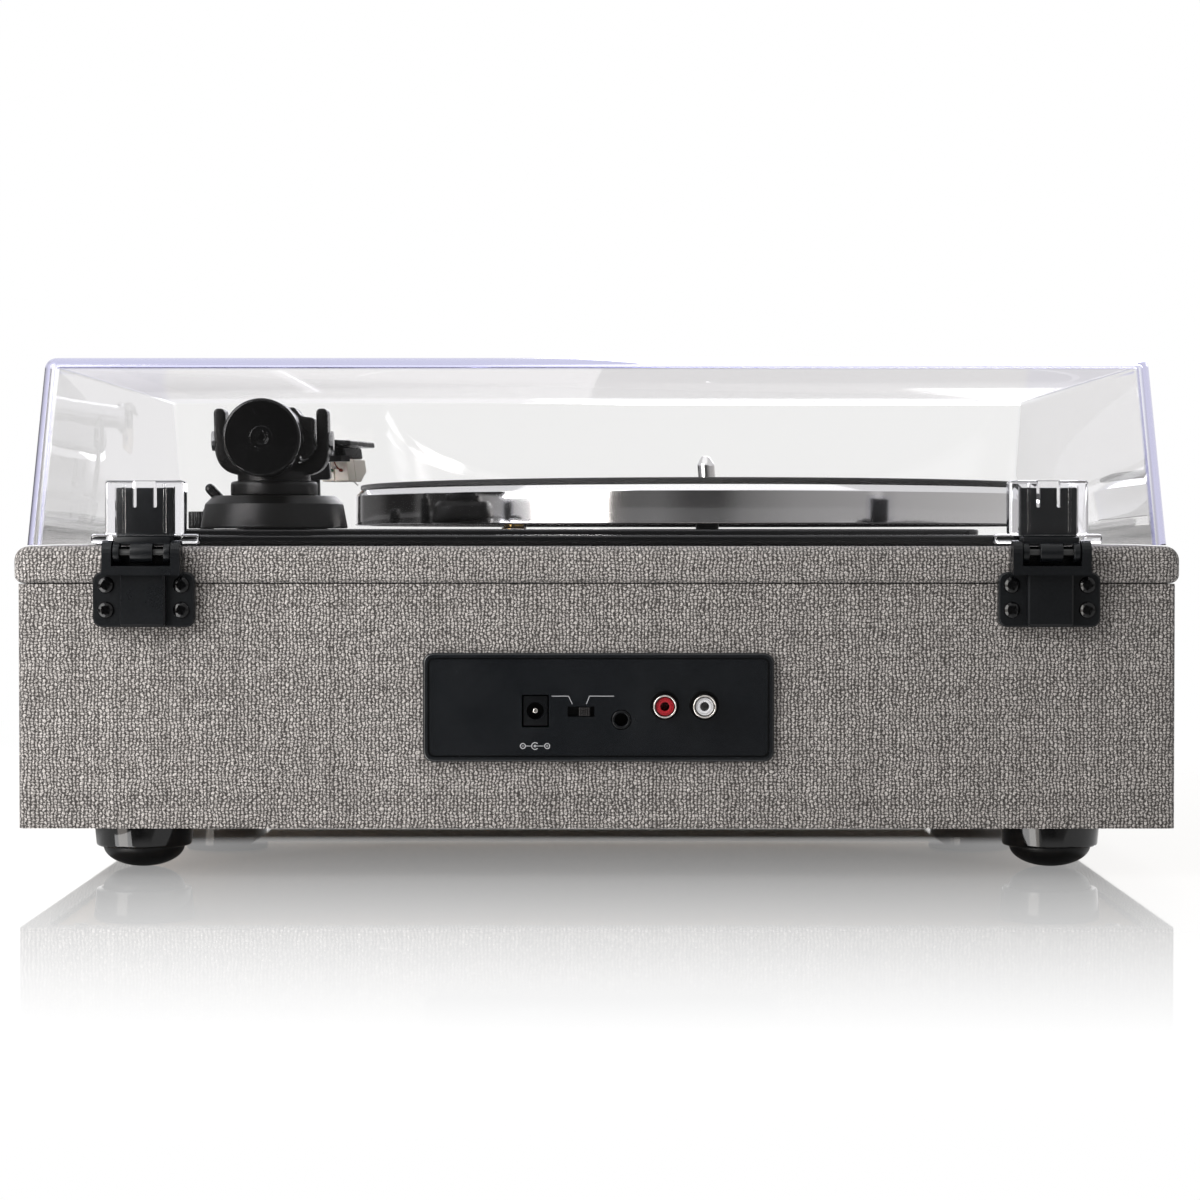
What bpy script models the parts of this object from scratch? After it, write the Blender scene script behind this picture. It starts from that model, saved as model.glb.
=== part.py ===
"""Belt-drive turntable: fabric-covered cabinet, black deck, clear hinged dust cover.

Metres, +Z up. The origin is on the ground under the middle of the turntable's box: +X is the
listener's right, -Y the front and +Y the back, where the hinges and the sockets are.
Depths are measured forward from the cabinet's back face, because the back is what was measured.
"""
import bpy
import bmesh
from math import acos, atan2, cos, pi, radians, sin
from mathutils import Matrix, Vector

# Clearances and counts shared by the whole model
SEAT_GAP = 0.0003          # between pieces that rest on each other
RUN_GAP = 0.0006           # between pieces that slide past each other
OVERRUN = 0.001            # how far a cutter passes the face it leaves through
WELD = 0.000003            # points closer than this are one point
FINE_STEPS = 56            # facets round the platter
ROUND_STEPS = 20           # facets round a hand-sized piece
SMALL_STEPS = 12           # facets round a pin, a socket or a screw

# Cabinet: four fabric-covered walls, a thicker top board and a bottom panel
CABINET_WIDTH = 0.411
CABINET_DEPTH = 0.350
CABINET_BASE_Z = 0.0178
CABINET_WALL_HEIGHT = 0.0869
CABINET_WALL = 0.009
CABINET_CORNER = 0.0025
TOP_BOARD_OVERHANG = 0.00175
TOP_BOARD_HEIGHT = 0.013
TOP_BOARD_CORNER = 0.0065
TOP_BOARD_UPPER_ROUND = 0.005
TOP_BOARD_LOWER_ROUND = 0.003
BOARD_OPENING_LEFT_X = -0.160
BOARD_OPENING_RIGHT_X = 0.170
BOARD_OPENING_BACK_DEPTH = 0.036
BOARD_OPENING_FRONT_INSET = 0.038
BOTTOM_PANEL_RECESS = 0.002
BOTTOM_PANEL_THICKNESS = 0.006
CORNER_BLOCK_SIDE = 0.020
CORNER_BLOCK_HEIGHT = 0.060
BOTTOM_SCREW_SHANK_RADIUS = 0.0016
BOTTOM_SCREW_LENGTH = 0.018

# Feet: a tapered cup with a rubber dome under it
FOOT_INSET_X = 0.0385
FOOT_INSET_Y = 0.044
FOOT_CUP_TOP_RADIUS = 0.0185
FOOT_CUP_LOW_RADIUS = 0.0174
FOOT_CUP_EDGE = 0.0008
FOOT_PAD_RADIUS = 0.0148
FOOT_PAD_HEIGHT = 0.0078
FOOT_PAD_FLAT_RADIUS = 0.0075
FOOT_PAD_SKIRT = 0.0012

# Speakers behind round openings in the front wall, which only the cloth covers
SPEAKER_SIDE_INSET = 0.0875
SPEAKER_Z = 0.0635
SPEAKER_OPENING_RADIUS = 0.032
SPEAKER_CLOTH_THICKNESS = 0.0012
SPEAKER_FLANGE_RADIUS = 0.036
SPEAKER_FLANGE_THICKNESS = 0.002
SPEAKER_BASKET_DEPTH = 0.022
SPEAKER_BASKET_END_RADIUS = 0.017
SPEAKER_CONE_RADIUS = 0.0295
SPEAKER_CONE_DEPTH = 0.013
SPEAKER_CAP_RADIUS = 0.012
SPEAKER_CAP_BULGE = 0.004
SPEAKER_MAGNET_RADIUS = 0.024
SPEAKER_MAGNET_HEIGHT = 0.012

# Connector panel in the back wall
PANEL_X = -0.0007
PANEL_Z = 0.0610
PANEL_WIDTH = 0.1245
PANEL_HEIGHT = 0.0387
PANEL_THICKNESS = 0.0024
PANEL_CORNER = 0.0035
PANEL_RIM = 0.0017
PANEL_FIELD_DEPTH = 0.0006
PANEL_SKIRT_INSET = 0.0042
PANEL_SKIRT_WALL = 0.0016
PANEL_SKIRT_DEPTH = 0.0085
PANEL_BACK_RELIEF = 0.0004
DC_JACK_X = 0.0217
DC_JACK_Z = 0.0597
DC_JACK_WIDTH = 0.009
DC_JACK_HEIGHT = 0.011
DC_JACK_SET_BACK = 0.0012
DC_HOLE_RADIUS = 0.00295
DC_HOLE_DEPTH = 0.0095
DC_PIN_RADIUS = 0.001
DC_PIN_LENGTH = 0.0085
SWITCH_X = 0.0055
SWITCH_Z = 0.0595
SWITCH_SLOT_WIDTH = 0.0095
SWITCH_SLOT_HEIGHT = 0.0036
SWITCH_BODY_WIDTH = 0.015
SWITCH_BODY_HEIGHT = 0.008
SWITCH_WELL_DEPTH = 0.003
SWITCH_TRAVEL = 0.0025
SLIDER_WIDTH = 0.0039
SLIDER_STANDS_OUT = 0.0008
SLIDER_RIB_PITCH = 0.001
SLIDER_RIB_DEPTH = 0.0004
AUX_JACK_X = -0.0088
AUX_JACK_Z = 0.0566
AUX_NECK_RADIUS = 0.0033
AUX_HOLE_RADIUS = 0.00225
AUX_HOLE_DEPTH = 0.0105
AUX_BODY_SIDE = 0.009
RCA_X = -0.0311
RCA_Z = 0.0617
RCA_PITCH = 0.014
RCA_SHELL_RADIUS = 0.00415
RCA_SHELL_WALL = 0.0006
RCA_STANDS_OUT = 0.0085
RCA_INSERT_SET_BACK = 0.0007
RCA_HOLE_RADIUS = 0.0016
RCA_BLOCK_SIDE = 0.013
JACK_BODY_DEPTH = 0.0135
BOARD_WIDTH = 0.108
BOARD_HEIGHT = 0.029
BOARD_THICKNESS = 0.0016
BOARD_POST_RADIUS = 0.002

# Lid hinges on the back of the cabinet
HINGE_X = 0.160
HINGE_AXIS_OUT = 0.008
HINGE_AXIS_Z = 0.1158
HINGE_PLATE_WIDTH = 0.036
HINGE_PLATE_BASE_Z = 0.0895
HINGE_PLATE_TOP_Z = 0.109
HINGE_PLATE_THICKNESS = 0.0047
HINGE_PLATE_CORNER = 0.003
HINGE_SPINE_WIDTH = 0.016
HINGE_SPINE_OUT = 0.0085
HINGE_BLOCK_WIDTH = 0.0275
HINGE_BLOCK_BASE_Z = 0.1080
HINGE_EAR_RADIUS = 0.0044
HINGE_WINDOW_WIDTH = 0.0208
HINGE_WINDOW_BASE_Z = 0.1112
HINGE_PIN_RADIUS = 0.0015
HINGE_BARREL_RADIUS = 0.0036
HINGE_WEB_THICKNESS = 0.0030
HINGE_TAB_WIDTH = 0.0203
HINGE_TAB_THICKNESS = 0.0026
HINGE_TAB_TOP_Z = 0.1388
HINGE_TAB_SLOT_WIDTH = 0.0014
HINGE_TAB_SLOT_DEPTH = 0.007
HINGE_TAB_SLOT_SPACING = 0.0072
HINGE_EDGE = 0.0006
HINGE_SCREW_X = 0.0133
HINGE_SCREW_MID_Z = 0.1000
HINGE_SCREW_HALF_PITCH = 0.0044
HINGE_SCREW_SHANK_RADIUS = 0.0014

# Dust cover
LID_BASE_Z = 0.1184
LID_HEIGHT = 0.0671
LID_HALF_WIDTH = 0.2036
LID_HALF_DEPTH = 0.1700
LID_BACK_INSET = 0.005
LID_DRAFT = 0.0059
LID_WALL = 0.003
LID_CORNER = 0.005
LID_TOP_ROUND = 0.0036
POCKET_WIDTH = 0.028
POCKET_BASE_Z = 0.1219
POCKET_TOP_Z = 0.1414
POCKET_WALL = 0.0016
POCKET_OUT_FROM_AXIS = 0.0052
POCKET_FOOT_WIDTH = 0.038
POCKET_FOOT_BASE_Z = 0.1189
POCKET_FOOT_HEIGHT = 0.0035
POCKET_FOOT_INNER = 0.0112
POCKET_SINK = 0.0104

# Deck: a moulded plate lying on the top board, with a raised plateau
DECK_LEFT_X = -0.176
DECK_RIGHT_X = 0.184
DECK_BACK_DEPTH = 0.024
DECK_FRONT_INSET = 0.022
DECK_THICKNESS = 0.0037
DECK_CORNER = 0.014
PLATEAU_LEFT_X = -0.140
PLATEAU_EDGE = 0.006
PLATEAU_STEP = 0.0022
DECK_EDGE_ROUND = 0.0008
DECK_SCREW_HEAD_RADIUS = 0.003
DECK_SCREW_HEAD_HEIGHT = 0.0016
DECK_SCREW_SHANK_RADIUS = 0.0014
DECK_SCREW_LENGTH = 0.0155
DECK_SCREW_INSET = 0.008
PULLEY_HOLE_RADIUS = 0.009

# Platter, mat, spindle and bearing
PLATTER_X = -0.0456
PLATTER_BACK_DEPTH = 0.176
PLATTER_RADIUS = 0.146
PLATTER_BASE_Z = 0.126
PLATTER_TOP_Z = 0.141
PLATTER_CHAMFER = 0.003
PLATTER_RIM_WALL = 0.005
PLATTER_TOP_WALL = 0.0042
PLATTER_LOW_EDGE = 0.0006
DRIVE_RING_RADIUS = 0.101
DRIVE_RING_WALL = 0.003
DRIVE_RING_RAISE = 0.0012
HUB_RADIUS = 0.014
HUB_RAISE = 0.004
MAT_RADIUS = 0.1436
MAT_THICKNESS = 0.002
MAT_EDGE = 0.0005
MAT_HOLE_RADIUS = 0.0042
SPINDLE_RADIUS = 0.00355
SPINDLE_TIP_Z = 0.1552
SPINDLE_TIP_ROUND = 0.0026
SPINDLE_COLLAR_RADIUS = 0.0075
SPINDLE_COLLAR_HEIGHT = 0.002
SPINDLE_SHAFT_RADIUS = 0.0025
BEARING_RADIUS = 0.00475
BEARING_TOP_Z = 0.1272
BEARING_BASE_Z = 0.090
BEARING_FLOOR = 0.003
BEARING_FLANGE_RADIUS = 0.016
BEARING_FLANGE_THICKNESS = 0.003

# Motor, pulley and belt
PULLEY_FROM_PLATTER_X = 0.0778
PULLEY_FROM_PLATTER_Y = 0.081
PULLEY_FLANGE_RADIUS = 0.0048
PULLEY_CROWN_RADIUS = 0.0038
PULLEY_BASE_Z = 0.1236
PULLEY_FLANGE_HEIGHT = 0.0014
PULLEY_TOP_Z = 0.1356
MOTOR_SHAFT_RADIUS = 0.0018
MOTOR_SHAFT_SINK = 0.005
MOTOR_RADIUS = 0.018
MOTOR_HEIGHT = 0.024
MOTOR_EDGE = 0.0015
MOTOR_COLLAR_RADIUS = 0.005
MOTOR_COLLAR_HEIGHT = 0.0015
MOTOR_BRACKET_HALF_LENGTH = 0.030
MOTOR_BRACKET_HALF_WIDTH = 0.012
MOTOR_BRACKET_THICKNESS = 0.0015
MOTOR_SCREW_REACH = 0.024
BELT_WIDTH = 0.0045
BELT_THICKNESS = 0.0007
BELT_BASE_Z = 0.1288

# Tonearm base, yoke and bearings
ARM_X = 0.121
ARM_BACK_DEPTH = 0.060
ARM_AXIS_RISE = 0.0127
ARM_BASE_RADIUS = 0.0275
ARM_BASE_TOP_RADIUS = 0.0252
ARM_BASE_HEIGHT = 0.0123
ARM_BASE_CHAMFER = 0.0028
ARM_SPIGOT_RADIUS = 0.012
ARM_SPIGOT_LENGTH = 0.0135
ARM_NUT_RADIUS = 0.019
ARM_NUT_HEIGHT = 0.0035
ARM_SHAFT_RADIUS = 0.003
ARM_SHAFT_LENGTH = 0.022
ARM_COLLAR_RADIUS = 0.0162
ARM_COLLAR_HEIGHT = 0.0053
ARM_COLLAR_EDGE = 0.0008
ARM_NECK_RADIUS = 0.0136
ARM_NECK_DEPTH_SHARE = 0.85
ARM_NECK_HEIGHT = 0.0018
YOKE_HALF_WIDTH = 0.02125
YOKE_ARM = 0.0043
YOKE_FLOOR = 0.0045
YOKE_TOP_RISE = 0.0117
YOKE_DEPTH = 0.012
YOKE_OUTER_ROUND = 0.011
YOKE_INNER_ROUND = 0.0085
YOKE_EDGE = 0.0007
PIVOT_BLOCK_WIDTH = 0.024
PIVOT_BLOCK_DEPTH = 0.018
PIVOT_BLOCK_HEIGHT = 0.012
PIVOT_BLOCK_EDGE = 0.0015
PIVOT_SCREW_RADIUS = 0.0025
PIVOT_SCREW_HEAD_RADIUS = 0.0036
PIVOT_SCREW_HEAD = 0.0012
PIVOT_TIP_RADIUS = 0.0012
PIVOT_TIP_REACH = 0.003

# Arm tube, weight and its dial
ARM_SOCKET_DEPTH = 0.006
ARM_TUBE_RADIUS = 0.0044
ARM_TUBE_RISE = 0.0034
ARM_TUBE_FRONT_DEPTH = 0.250
STUB_RADIUS = 0.0035
WEIGHT_RADIUS = 0.0141
WEIGHT_BACK_DEPTH = 0.0207
WEIGHT_LENGTH = 0.0205
WEIGHT_EDGE = 0.0012
WEIGHT_CAP = 0.0034
WEIGHT_BOSS_RADIUS = 0.004
WEIGHT_BOSS_HEIGHT = 0.0005
WEIGHT_EYE_RADIUS = 0.0012
DIAL_RADIUS = 0.0131
DIAL_LENGTH = 0.0058
DIAL_RIB_DEPTH = 0.0005
DIAL_RIBS = 24

# Headshell, cartridge and stylus
SHELL_OFFSET_ANGLE = radians(22)
SHELL_COLLAR_RADIUS = 0.0058
SHELL_COLLAR_LENGTH = 0.0095
SHELL_COLLAR_GRIP = 0.005
SHELL_NECK_RADIUS = 0.0036
SHELL_NECK_LENGTH = 0.009
SHELL_BEND_FROM_COLLAR = 0.002
SHELL_LENGTH = 0.037
SHELL_PLATE_BACK = 0.004
SHELL_BACK_WIDTH = 0.011
SHELL_WIDTH = 0.0158
SHELL_FRONT_WIDTH = 0.0132
SHELL_SHOULDER = 0.009
SHELL_THICKNESS = 0.0024
SHELL_LIFT = 0.0016
SHELL_EDGE = 0.0005
FINGER_WIDTH = 0.0026
FINGER_THICKNESS = 0.001
FINGER_REACH = 0.009
FINGER_RISE = 0.0016
FINGER_BACK_FROM_TIP = 0.012
CARTRIDGE_BACK = 0.0095
CARTRIDGE_LENGTH = 0.0185
CARTRIDGE_WIDTH = 0.0136
CARTRIDGE_TOP_HEIGHT = 0.0046
CARTRIDGE_BODY_HEIGHT = 0.0092
CARTRIDGE_NOSE_SHARE = 0.45
CARTRIDGE_EDGE = 0.0006
STYLUS_HOLDER_WIDTH = 0.0042
STYLUS_HOLDER_HEIGHT = 0.0028
STYLUS_HOLDER_LENGTH = 0.006
CANTILEVER_RADIUS = 0.0003
CANTILEVER_LENGTH = 0.0062
STYLUS_TIP_DROP = 0.0159

# Arm rest and cueing
REST_BACK_DEPTH = 0.200
REST_POST_RADIUS = 0.0032
REST_FOOT_RADIUS = 0.0065
REST_FOOT_HEIGHT = 0.0022
REST_CRADLE_HALF_WIDTH = 0.008
REST_CRADLE_DEPTH = 0.007
REST_CRADLE_HEIGHT = 0.0035
REST_CRADLE_WALL = 0.0028
REST_CRADLE_WALL_HEIGHT = 0.009
REST_DROP = 0.0016
REST_SPIGOT_LENGTH = 0.0075
CUE_REACH = 0.0345
CUE_GUIDE_RADIUS = 0.0042
CUE_GUIDE_HEIGHT = 0.0145
CUE_SPIGOT_RADIUS = 0.0036
CUE_GUIDE_SPIGOT = 0.009
CUE_POST_RADIUS = 0.0021
CUE_POST_LENGTH = 0.030
CUE_PLATFORM_WIDTH = 0.0045
CUE_PLATFORM_THICKNESS = 0.0022
CUE_PLATFORM_START = radians(-14)
CUE_PLATFORM_END = radians(46)
CUE_GAP = 0.0006
LEVER_REACH_X = 0.0183
LEVER_AXIS_HEIGHT = 0.0088
LEVER_RADIUS = 0.00195
LEVER_LENGTH = 0.0105
LEVER_LEAN = radians(42)
LEVER_PIN_RADIUS = 0.0011
LEVER_PIN_LENGTH = 0.0085
LEVER_SLOT_BACK = 0.0026

# Knobs on the deck and what they turn underneath
SPEED_KNOB_X = 0.1585
SPEED_KNOB_BACK_DEPTH = 0.147
VOLUME_KNOB_X = 0.158
VOLUME_KNOB_FRONT_INSET = 0.054
KNOB_RADIUS = 0.0076
KNOB_HEIGHT = 0.0072
KNOB_RIBS = 20
KNOB_RIB_DEPTH = 0.0005
KNOB_RIDGE_WIDTH = 0.0016
KNOB_RIDGE_HEIGHT = 0.0008
KNOB_SHAFT_RADIUS = 0.0028
KNOB_SHAFT_LENGTH = 0.012
CONTROL_RADIUS = 0.009
CONTROL_HEIGHT = 0.008

SIDES = ((-1, "left"), (1, "right"))
ENDS = ((-1, "front"), (1, "back"))

# Places that follow from the sizes above
HINGE_OUT = HINGE_AXIS_OUT + HINGE_EAR_RADIUS
BACK_Y = (CABINET_DEPTH - HINGE_OUT + TOP_BOARD_OVERHANG) / 2
FRONT_Y = BACK_Y - CABINET_DEPTH
MIDDLE_Y = BACK_Y - CABINET_DEPTH / 2
WALL_TOP_Z = CABINET_BASE_Z + CABINET_WALL_HEIGHT
BOARD_BASE_Z = WALL_TOP_Z + SEAT_GAP
BOARD_TOP_Z = BOARD_BASE_Z + TOP_BOARD_HEIGHT
BOTTOM_BASE_Z = CABINET_BASE_Z + BOTTOM_PANEL_RECESS
BOTTOM_TOP_Z = BOTTOM_BASE_Z + BOTTOM_PANEL_THICKNESS
FOOT_X = CABINET_WIDTH / 2 - FOOT_INSET_X
SPEAKER_X = CABINET_WIDTH / 2 - SPEAKER_SIDE_INSET
LID_MIDDLE_Y = BACK_Y - LID_BACK_INSET - LID_HALF_DEPTH
DECK_BASE_Z = BOARD_TOP_Z + SEAT_GAP
DECK_TOP_Z = DECK_BASE_Z + DECK_THICKNESS
PLATEAU_TOP_Z = DECK_TOP_Z + PLATEAU_STEP
PLATEAU_RIGHT_X = DECK_RIGHT_X - PLATEAU_EDGE
HINGE_Y = BACK_Y + HINGE_AXIS_OUT
PLATTER_Y = BACK_Y - PLATTER_BACK_DEPTH
PULLEY_X = PLATTER_X + PULLEY_FROM_PLATTER_X
PULLEY_Y = PLATTER_Y + PULLEY_FROM_PLATTER_Y
ARM_Y = BACK_Y - ARM_BACK_DEPTH
REST_Y = BACK_Y - REST_BACK_DEPTH
ARM_BASE_Z = PLATEAU_TOP_Z + SEAT_GAP
ARM_BASE_TOP_Z = ARM_BASE_Z + ARM_BASE_HEIGHT
ARM_COLLAR_BASE_Z = ARM_BASE_TOP_Z + SEAT_GAP
ARM_COLLAR_TOP_Z = ARM_COLLAR_BASE_Z + ARM_COLLAR_HEIGHT
ARM_NECK_BASE_Z = ARM_COLLAR_TOP_Z + SEAT_GAP
YOKE_BASE_Z = ARM_NECK_BASE_Z + ARM_NECK_HEIGHT
ARM_AXIS_Z = YOKE_BASE_Z + ARM_AXIS_RISE
YOKE_TOP_Z = ARM_AXIS_Z + YOKE_TOP_RISE
TUBE_FRONT_Z = ARM_AXIS_Z + ARM_TUBE_RISE
SHELL_BASE_Z = TUBE_FRONT_Z + SHELL_LIFT
STYLUS_TIP_Z = SHELL_BASE_Z - STYLUS_TIP_DROP
MOTOR_TOP_Z = DECK_BASE_Z - MOTOR_BRACKET_THICKNESS - 2 * SEAT_GAP

# Colours as seen in the photograph: red, green, blue, then roughness and metallic
FINISHES = {
    "fabric": ((0.33, 0.30, 0.27), 0.95, 0.0),
    "board_brown": ((0.30, 0.22, 0.15), 0.85, 0.0),
    "satin_black": ((0.020, 0.020, 0.022), 0.45, 0.0),
    "gloss_black": ((0.012, 0.012, 0.013), 0.12, 0.0),
    "rubber_black": ((0.018, 0.018, 0.018), 0.75, 0.0),
    "clear": ((0.85, 0.86, 0.92), 0.03, 0.0),
    "felt": ((0.030, 0.030, 0.032), 0.98, 0.0),
    "aluminium": ((0.78, 0.78, 0.79), 0.22, 1.0),
    "steel": ((0.62, 0.61, 0.60), 0.28, 1.0),
    "black_steel": ((0.030, 0.030, 0.032), 0.35, 1.0),
    "brass": ((0.72, 0.52, 0.22), 0.25, 1.0),
    "cream": ((0.80, 0.77, 0.70), 0.40, 0.0),
    "red": ((0.55, 0.03, 0.03), 0.35, 0.0),
    "white": ((0.85, 0.85, 0.85), 0.35, 0.0),
    "board_green": ((0.03, 0.16, 0.07), 0.50, 0.0),
    "paper": ((0.05, 0.05, 0.05), 0.90, 0.0),
}


# Helpers
def remove_everything():
    for thing in list(bpy.data.objects):
        bpy.data.objects.remove(thing, do_unlink=True)


def new_collection(name):
    collection = bpy.data.collections.new(name)
    bpy.context.scene.collection.children.link(collection)
    return collection


def finish(name):
    """The Principled material called name."""
    material = bpy.data.materials.get(name)
    if material is None:
        colour, roughness, metallic = FINISHES[name]
        material = bpy.data.materials.new(name)
        material.use_nodes = True
        shader = material.node_tree.nodes["Principled BSDF"]
        shader.inputs["Base Color"].default_value = (*colour, 1.0)
        shader.inputs["Roughness"].default_value = roughness
        shader.inputs["Metallic"].default_value = metallic
    return material


def add_part(name, mesh, finish_name, origin=(0, 0, 0)):
    """A named piece of the turntable, with its own material and its origin where it turns."""
    mesh.transform(Matrix.Translation(-Vector(origin)))
    thing = bpy.data.objects.new(name, mesh)
    thing.location = origin
    mesh.materials.clear()
    mesh.materials.append(finish(finish_name))
    PARTS.objects.link(thing)
    return thing


def add_guide(name, mesh):
    """A shape that only cuts or joins a piece."""
    guide = bpy.data.objects.new(name, mesh)
    guide.hide_render = True
    guide.display_type = "WIRE"
    GUIDES.objects.link(guide)
    return guide


def boolean(thing, guide, operation):
    step = thing.modifiers.new(guide.name, "BOOLEAN")
    step.object = guide
    step.operation = operation
    step.solver = "EXACT"


def cut(thing, guide):
    boolean(thing, guide, "DIFFERENCE")


def fuse(thing, guide):
    boolean(thing, guide, "UNION")


def mesh_from(bm, name):
    mesh = bpy.data.meshes.new(name)
    bmesh.ops.recalc_face_normals(bm, faces=bm.faces)
    bm.to_mesh(mesh)
    bm.free()
    return mesh


def smooth(mesh, angle=radians(35)):
    mesh.shade_smooth()
    mesh.set_sharp_from_angle(angle=angle)
    return mesh


def edges_along(bm, axis):
    """Edges that run along one axis: 0 for X, 1 for Y, 2 for Z."""
    found = []
    for edge in bm.edges:
        run = edge.verts[1].co - edge.verts[0].co
        if run.length - abs(run[axis]) < WELD:
            found.append(edge)
    return found


def bevel_edges(bm, edges, width, segments):
    if width > 0:
        bmesh.ops.bevel(bm, geom=edges, offset=width, offset_type="OFFSET", segments=segments,
                        affect="EDGES", profile=0.5, material=-1, clamp_overlap=True)


def box_bm(low, high):
    """A box between two corners."""
    size = Vector(high) - Vector(low)
    middle = (Vector(high) + Vector(low)) / 2
    bm = bmesh.new()
    bmesh.ops.create_cube(bm, size=1.0, matrix=Matrix.Translation(middle) @ Matrix.Diagonal((*size, 1)))
    return bm


def box_mesh(name, low, high, round_axis=None, corner=0, segments=3, edge=0, edge_segments=1):
    """A box with the edges along one axis rounded, then, if asked, all sharp edges bevelled."""
    bm = box_bm(low, high)
    if round_axis is not None:
        bevel_edges(bm, edges_along(bm, round_axis), corner, segments)
    if edge:
        sharp = [e for e in bm.edges if e.calc_face_angle(0) > radians(50)]
        bevel_edges(bm, sharp, edge, edge_segments)
    return smooth(mesh_from(bm, name))


def evaluated_mesh(thing):
    """The finished mesh of a helper object, which is then removed."""
    bpy.context.view_layer.update()
    seen = thing.evaluated_get(bpy.context.evaluated_depsgraph_get())
    mesh = bpy.data.meshes.new_from_object(seen)
    bpy.data.objects.remove(thing, do_unlink=True)
    return mesh


def welded(mesh, name, matrix=Matrix.Identity(4)):
    """The mesh with its caps and seams closed, put in place, with its faces pointing out."""
    bm = bmesh.new()
    bm.from_mesh(mesh)
    bpy.data.meshes.remove(mesh)
    bmesh.ops.remove_doubles(bm, verts=bm.verts, dist=WELD)
    bmesh.ops.transform(bm, matrix=matrix, verts=bm.verts)
    return smooth(mesh_from(bm, name))


AXIS_TURNS = {"X": Matrix.Rotation(pi / 2, 4, "Y"), "Y": Matrix.Rotation(-pi / 2, 4, "X"),
              "Z": Matrix.Identity(4)}


def turned_mesh(name, profile, steps, centre=(0, 0, 0), axis="Z"):
    """An outline of (radius, height) points, top to bottom on its outer side, turned by a Screw.

    Points at radius zero lie on the axis and close the shape there. Without them the outline is
    closed on itself, and turns into a ring.
    """
    outline = bpy.data.meshes.new(name)
    ends_on_axis = profile[0][0] == 0 and profile[-1][0] == 0
    edges = [(i, i + 1) for i in range(len(profile) - 1)]
    if not ends_on_axis:
        edges.append((len(profile) - 1, 0))
    outline.from_pydata([(radius, 0, height) for radius, height in profile], edges, [])
    lathe = bpy.data.objects.new(name, outline)
    GUIDES.objects.link(lathe)
    screw = lathe.modifiers.new("turn", "SCREW")
    screw.steps = steps
    screw.render_steps = steps
    screw.use_merge_vertices = True
    screw.merge_threshold = WELD
    return welded(evaluated_mesh(lathe), name, Matrix.Translation(centre) @ AXIS_TURNS[axis])


def rod_mesh(name, radius, low, high, steps, centre=(0, 0), axis="Z"):
    """A plain cylinder from low to high along an axis; centre is where the axis crosses."""
    place = {"X": (0, centre[0], centre[1]), "Y": (centre[0], 0, centre[1]),
             "Z": (centre[0], centre[1], 0)}[axis]
    profile = [(0, high), (radius, high), (radius, low), (0, low)]
    return turned_mesh(name, profile, steps, place, axis)


def join_meshes(name, meshes):
    """One mesh holding several separate solids."""
    bm = bmesh.new()
    for mesh in meshes:
        bm.from_mesh(mesh)
        bpy.data.meshes.remove(mesh)
    joined = bpy.data.meshes.new(name)
    bm.to_mesh(joined)
    bm.free()
    return smooth(joined)


def plate_mesh(name, outline, low, high, axis="Z", holes=()):
    """A flat outline, with any holes, filled and given a thickness from low to high.

    Along X the outline's pairs are (y, z), along Y they are (x, z) and along Z (x, y).
    """
    drawing = bpy.data.curves.new(name, "CURVE")
    drawing.dimensions = "2D"
    drawing.fill_mode = "BOTH"
    drawing.extrude = (high - low) / 2
    for line in (outline, *holes):
        spline = drawing.splines.new("POLY")
        spline.points.add(len(line) - 1)
        for point, (a, b) in zip(spline.points, line):
            point.co = (a, b, 0, 1)
        spline.use_cyclic_u = True
    sheet = bpy.data.objects.new(name, drawing)
    GUIDES.objects.link(sheet)
    middle = (high + low) / 2
    stand = {"X": Matrix(((0, 0, 1, middle), (1, 0, 0, 0), (0, 1, 0, 0), (0, 0, 0, 1))),
             "Y": Matrix(((1, 0, 0, 0), (0, 0, 1, middle), (0, 1, 0, 0), (0, 0, 0, 1))),
             "Z": Matrix.Translation((0, 0, middle))}[axis]
    return welded(evaluated_mesh(sheet), name, stand)


def tube_mesh(name, points, radius, resolution=2):
    """A round bar along a line of points, with flat ends."""
    path = bpy.data.curves.new(name, "CURVE")
    path.dimensions = "3D"
    path.bevel_depth = radius
    path.bevel_resolution = resolution
    path.use_fill_caps = True
    spline = path.splines.new("POLY")
    spline.points.add(len(points) - 1)
    for point, place in zip(spline.points, points):
        point.co = (*place, 1)
    bar = bpy.data.objects.new(name, path)
    GUIDES.objects.link(bar)
    return welded(evaluated_mesh(bar), name)


def arc(centre, radius, start, end, count):
    """Points on an arc, from one angle to another."""
    turns = [start + (end - start) * i / count for i in range(count + 1)]
    return [(centre[0] + radius * cos(turn), centre[1] + radius * sin(turn)) for turn in turns]


def ribbed_outline(radius, depth, ribs):
    """A round outline with ribs: two points out, two points in, for each rib."""
    points = []
    for i in range(4 * ribs):
        reach = radius if i % 4 < 2 else radius - depth
        turn = 2 * pi * i / (4 * ribs)
        points.append((reach * cos(turn), reach * sin(turn)))
    return points


def circle(centre, radius, steps):
    """A round outline."""
    return arc(centre, radius, 0, 2 * pi * (steps - 1) / steps, steps - 1)


def depth_y(depth):
    """The y of a place measured forward from the cabinet's back face."""
    return BACK_Y - depth


def mirrored_x(mesh, middle_x=0):
    """A copy of the mesh flipped across a plane of constant x."""
    copy = mesh.copy()
    flip = Matrix.Translation((2 * middle_x, 0, 0)) @ Matrix.Diagonal((-1, 1, 1, 1))
    copy.transform(flip)
    copy.flip_normals()
    return copy


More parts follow.
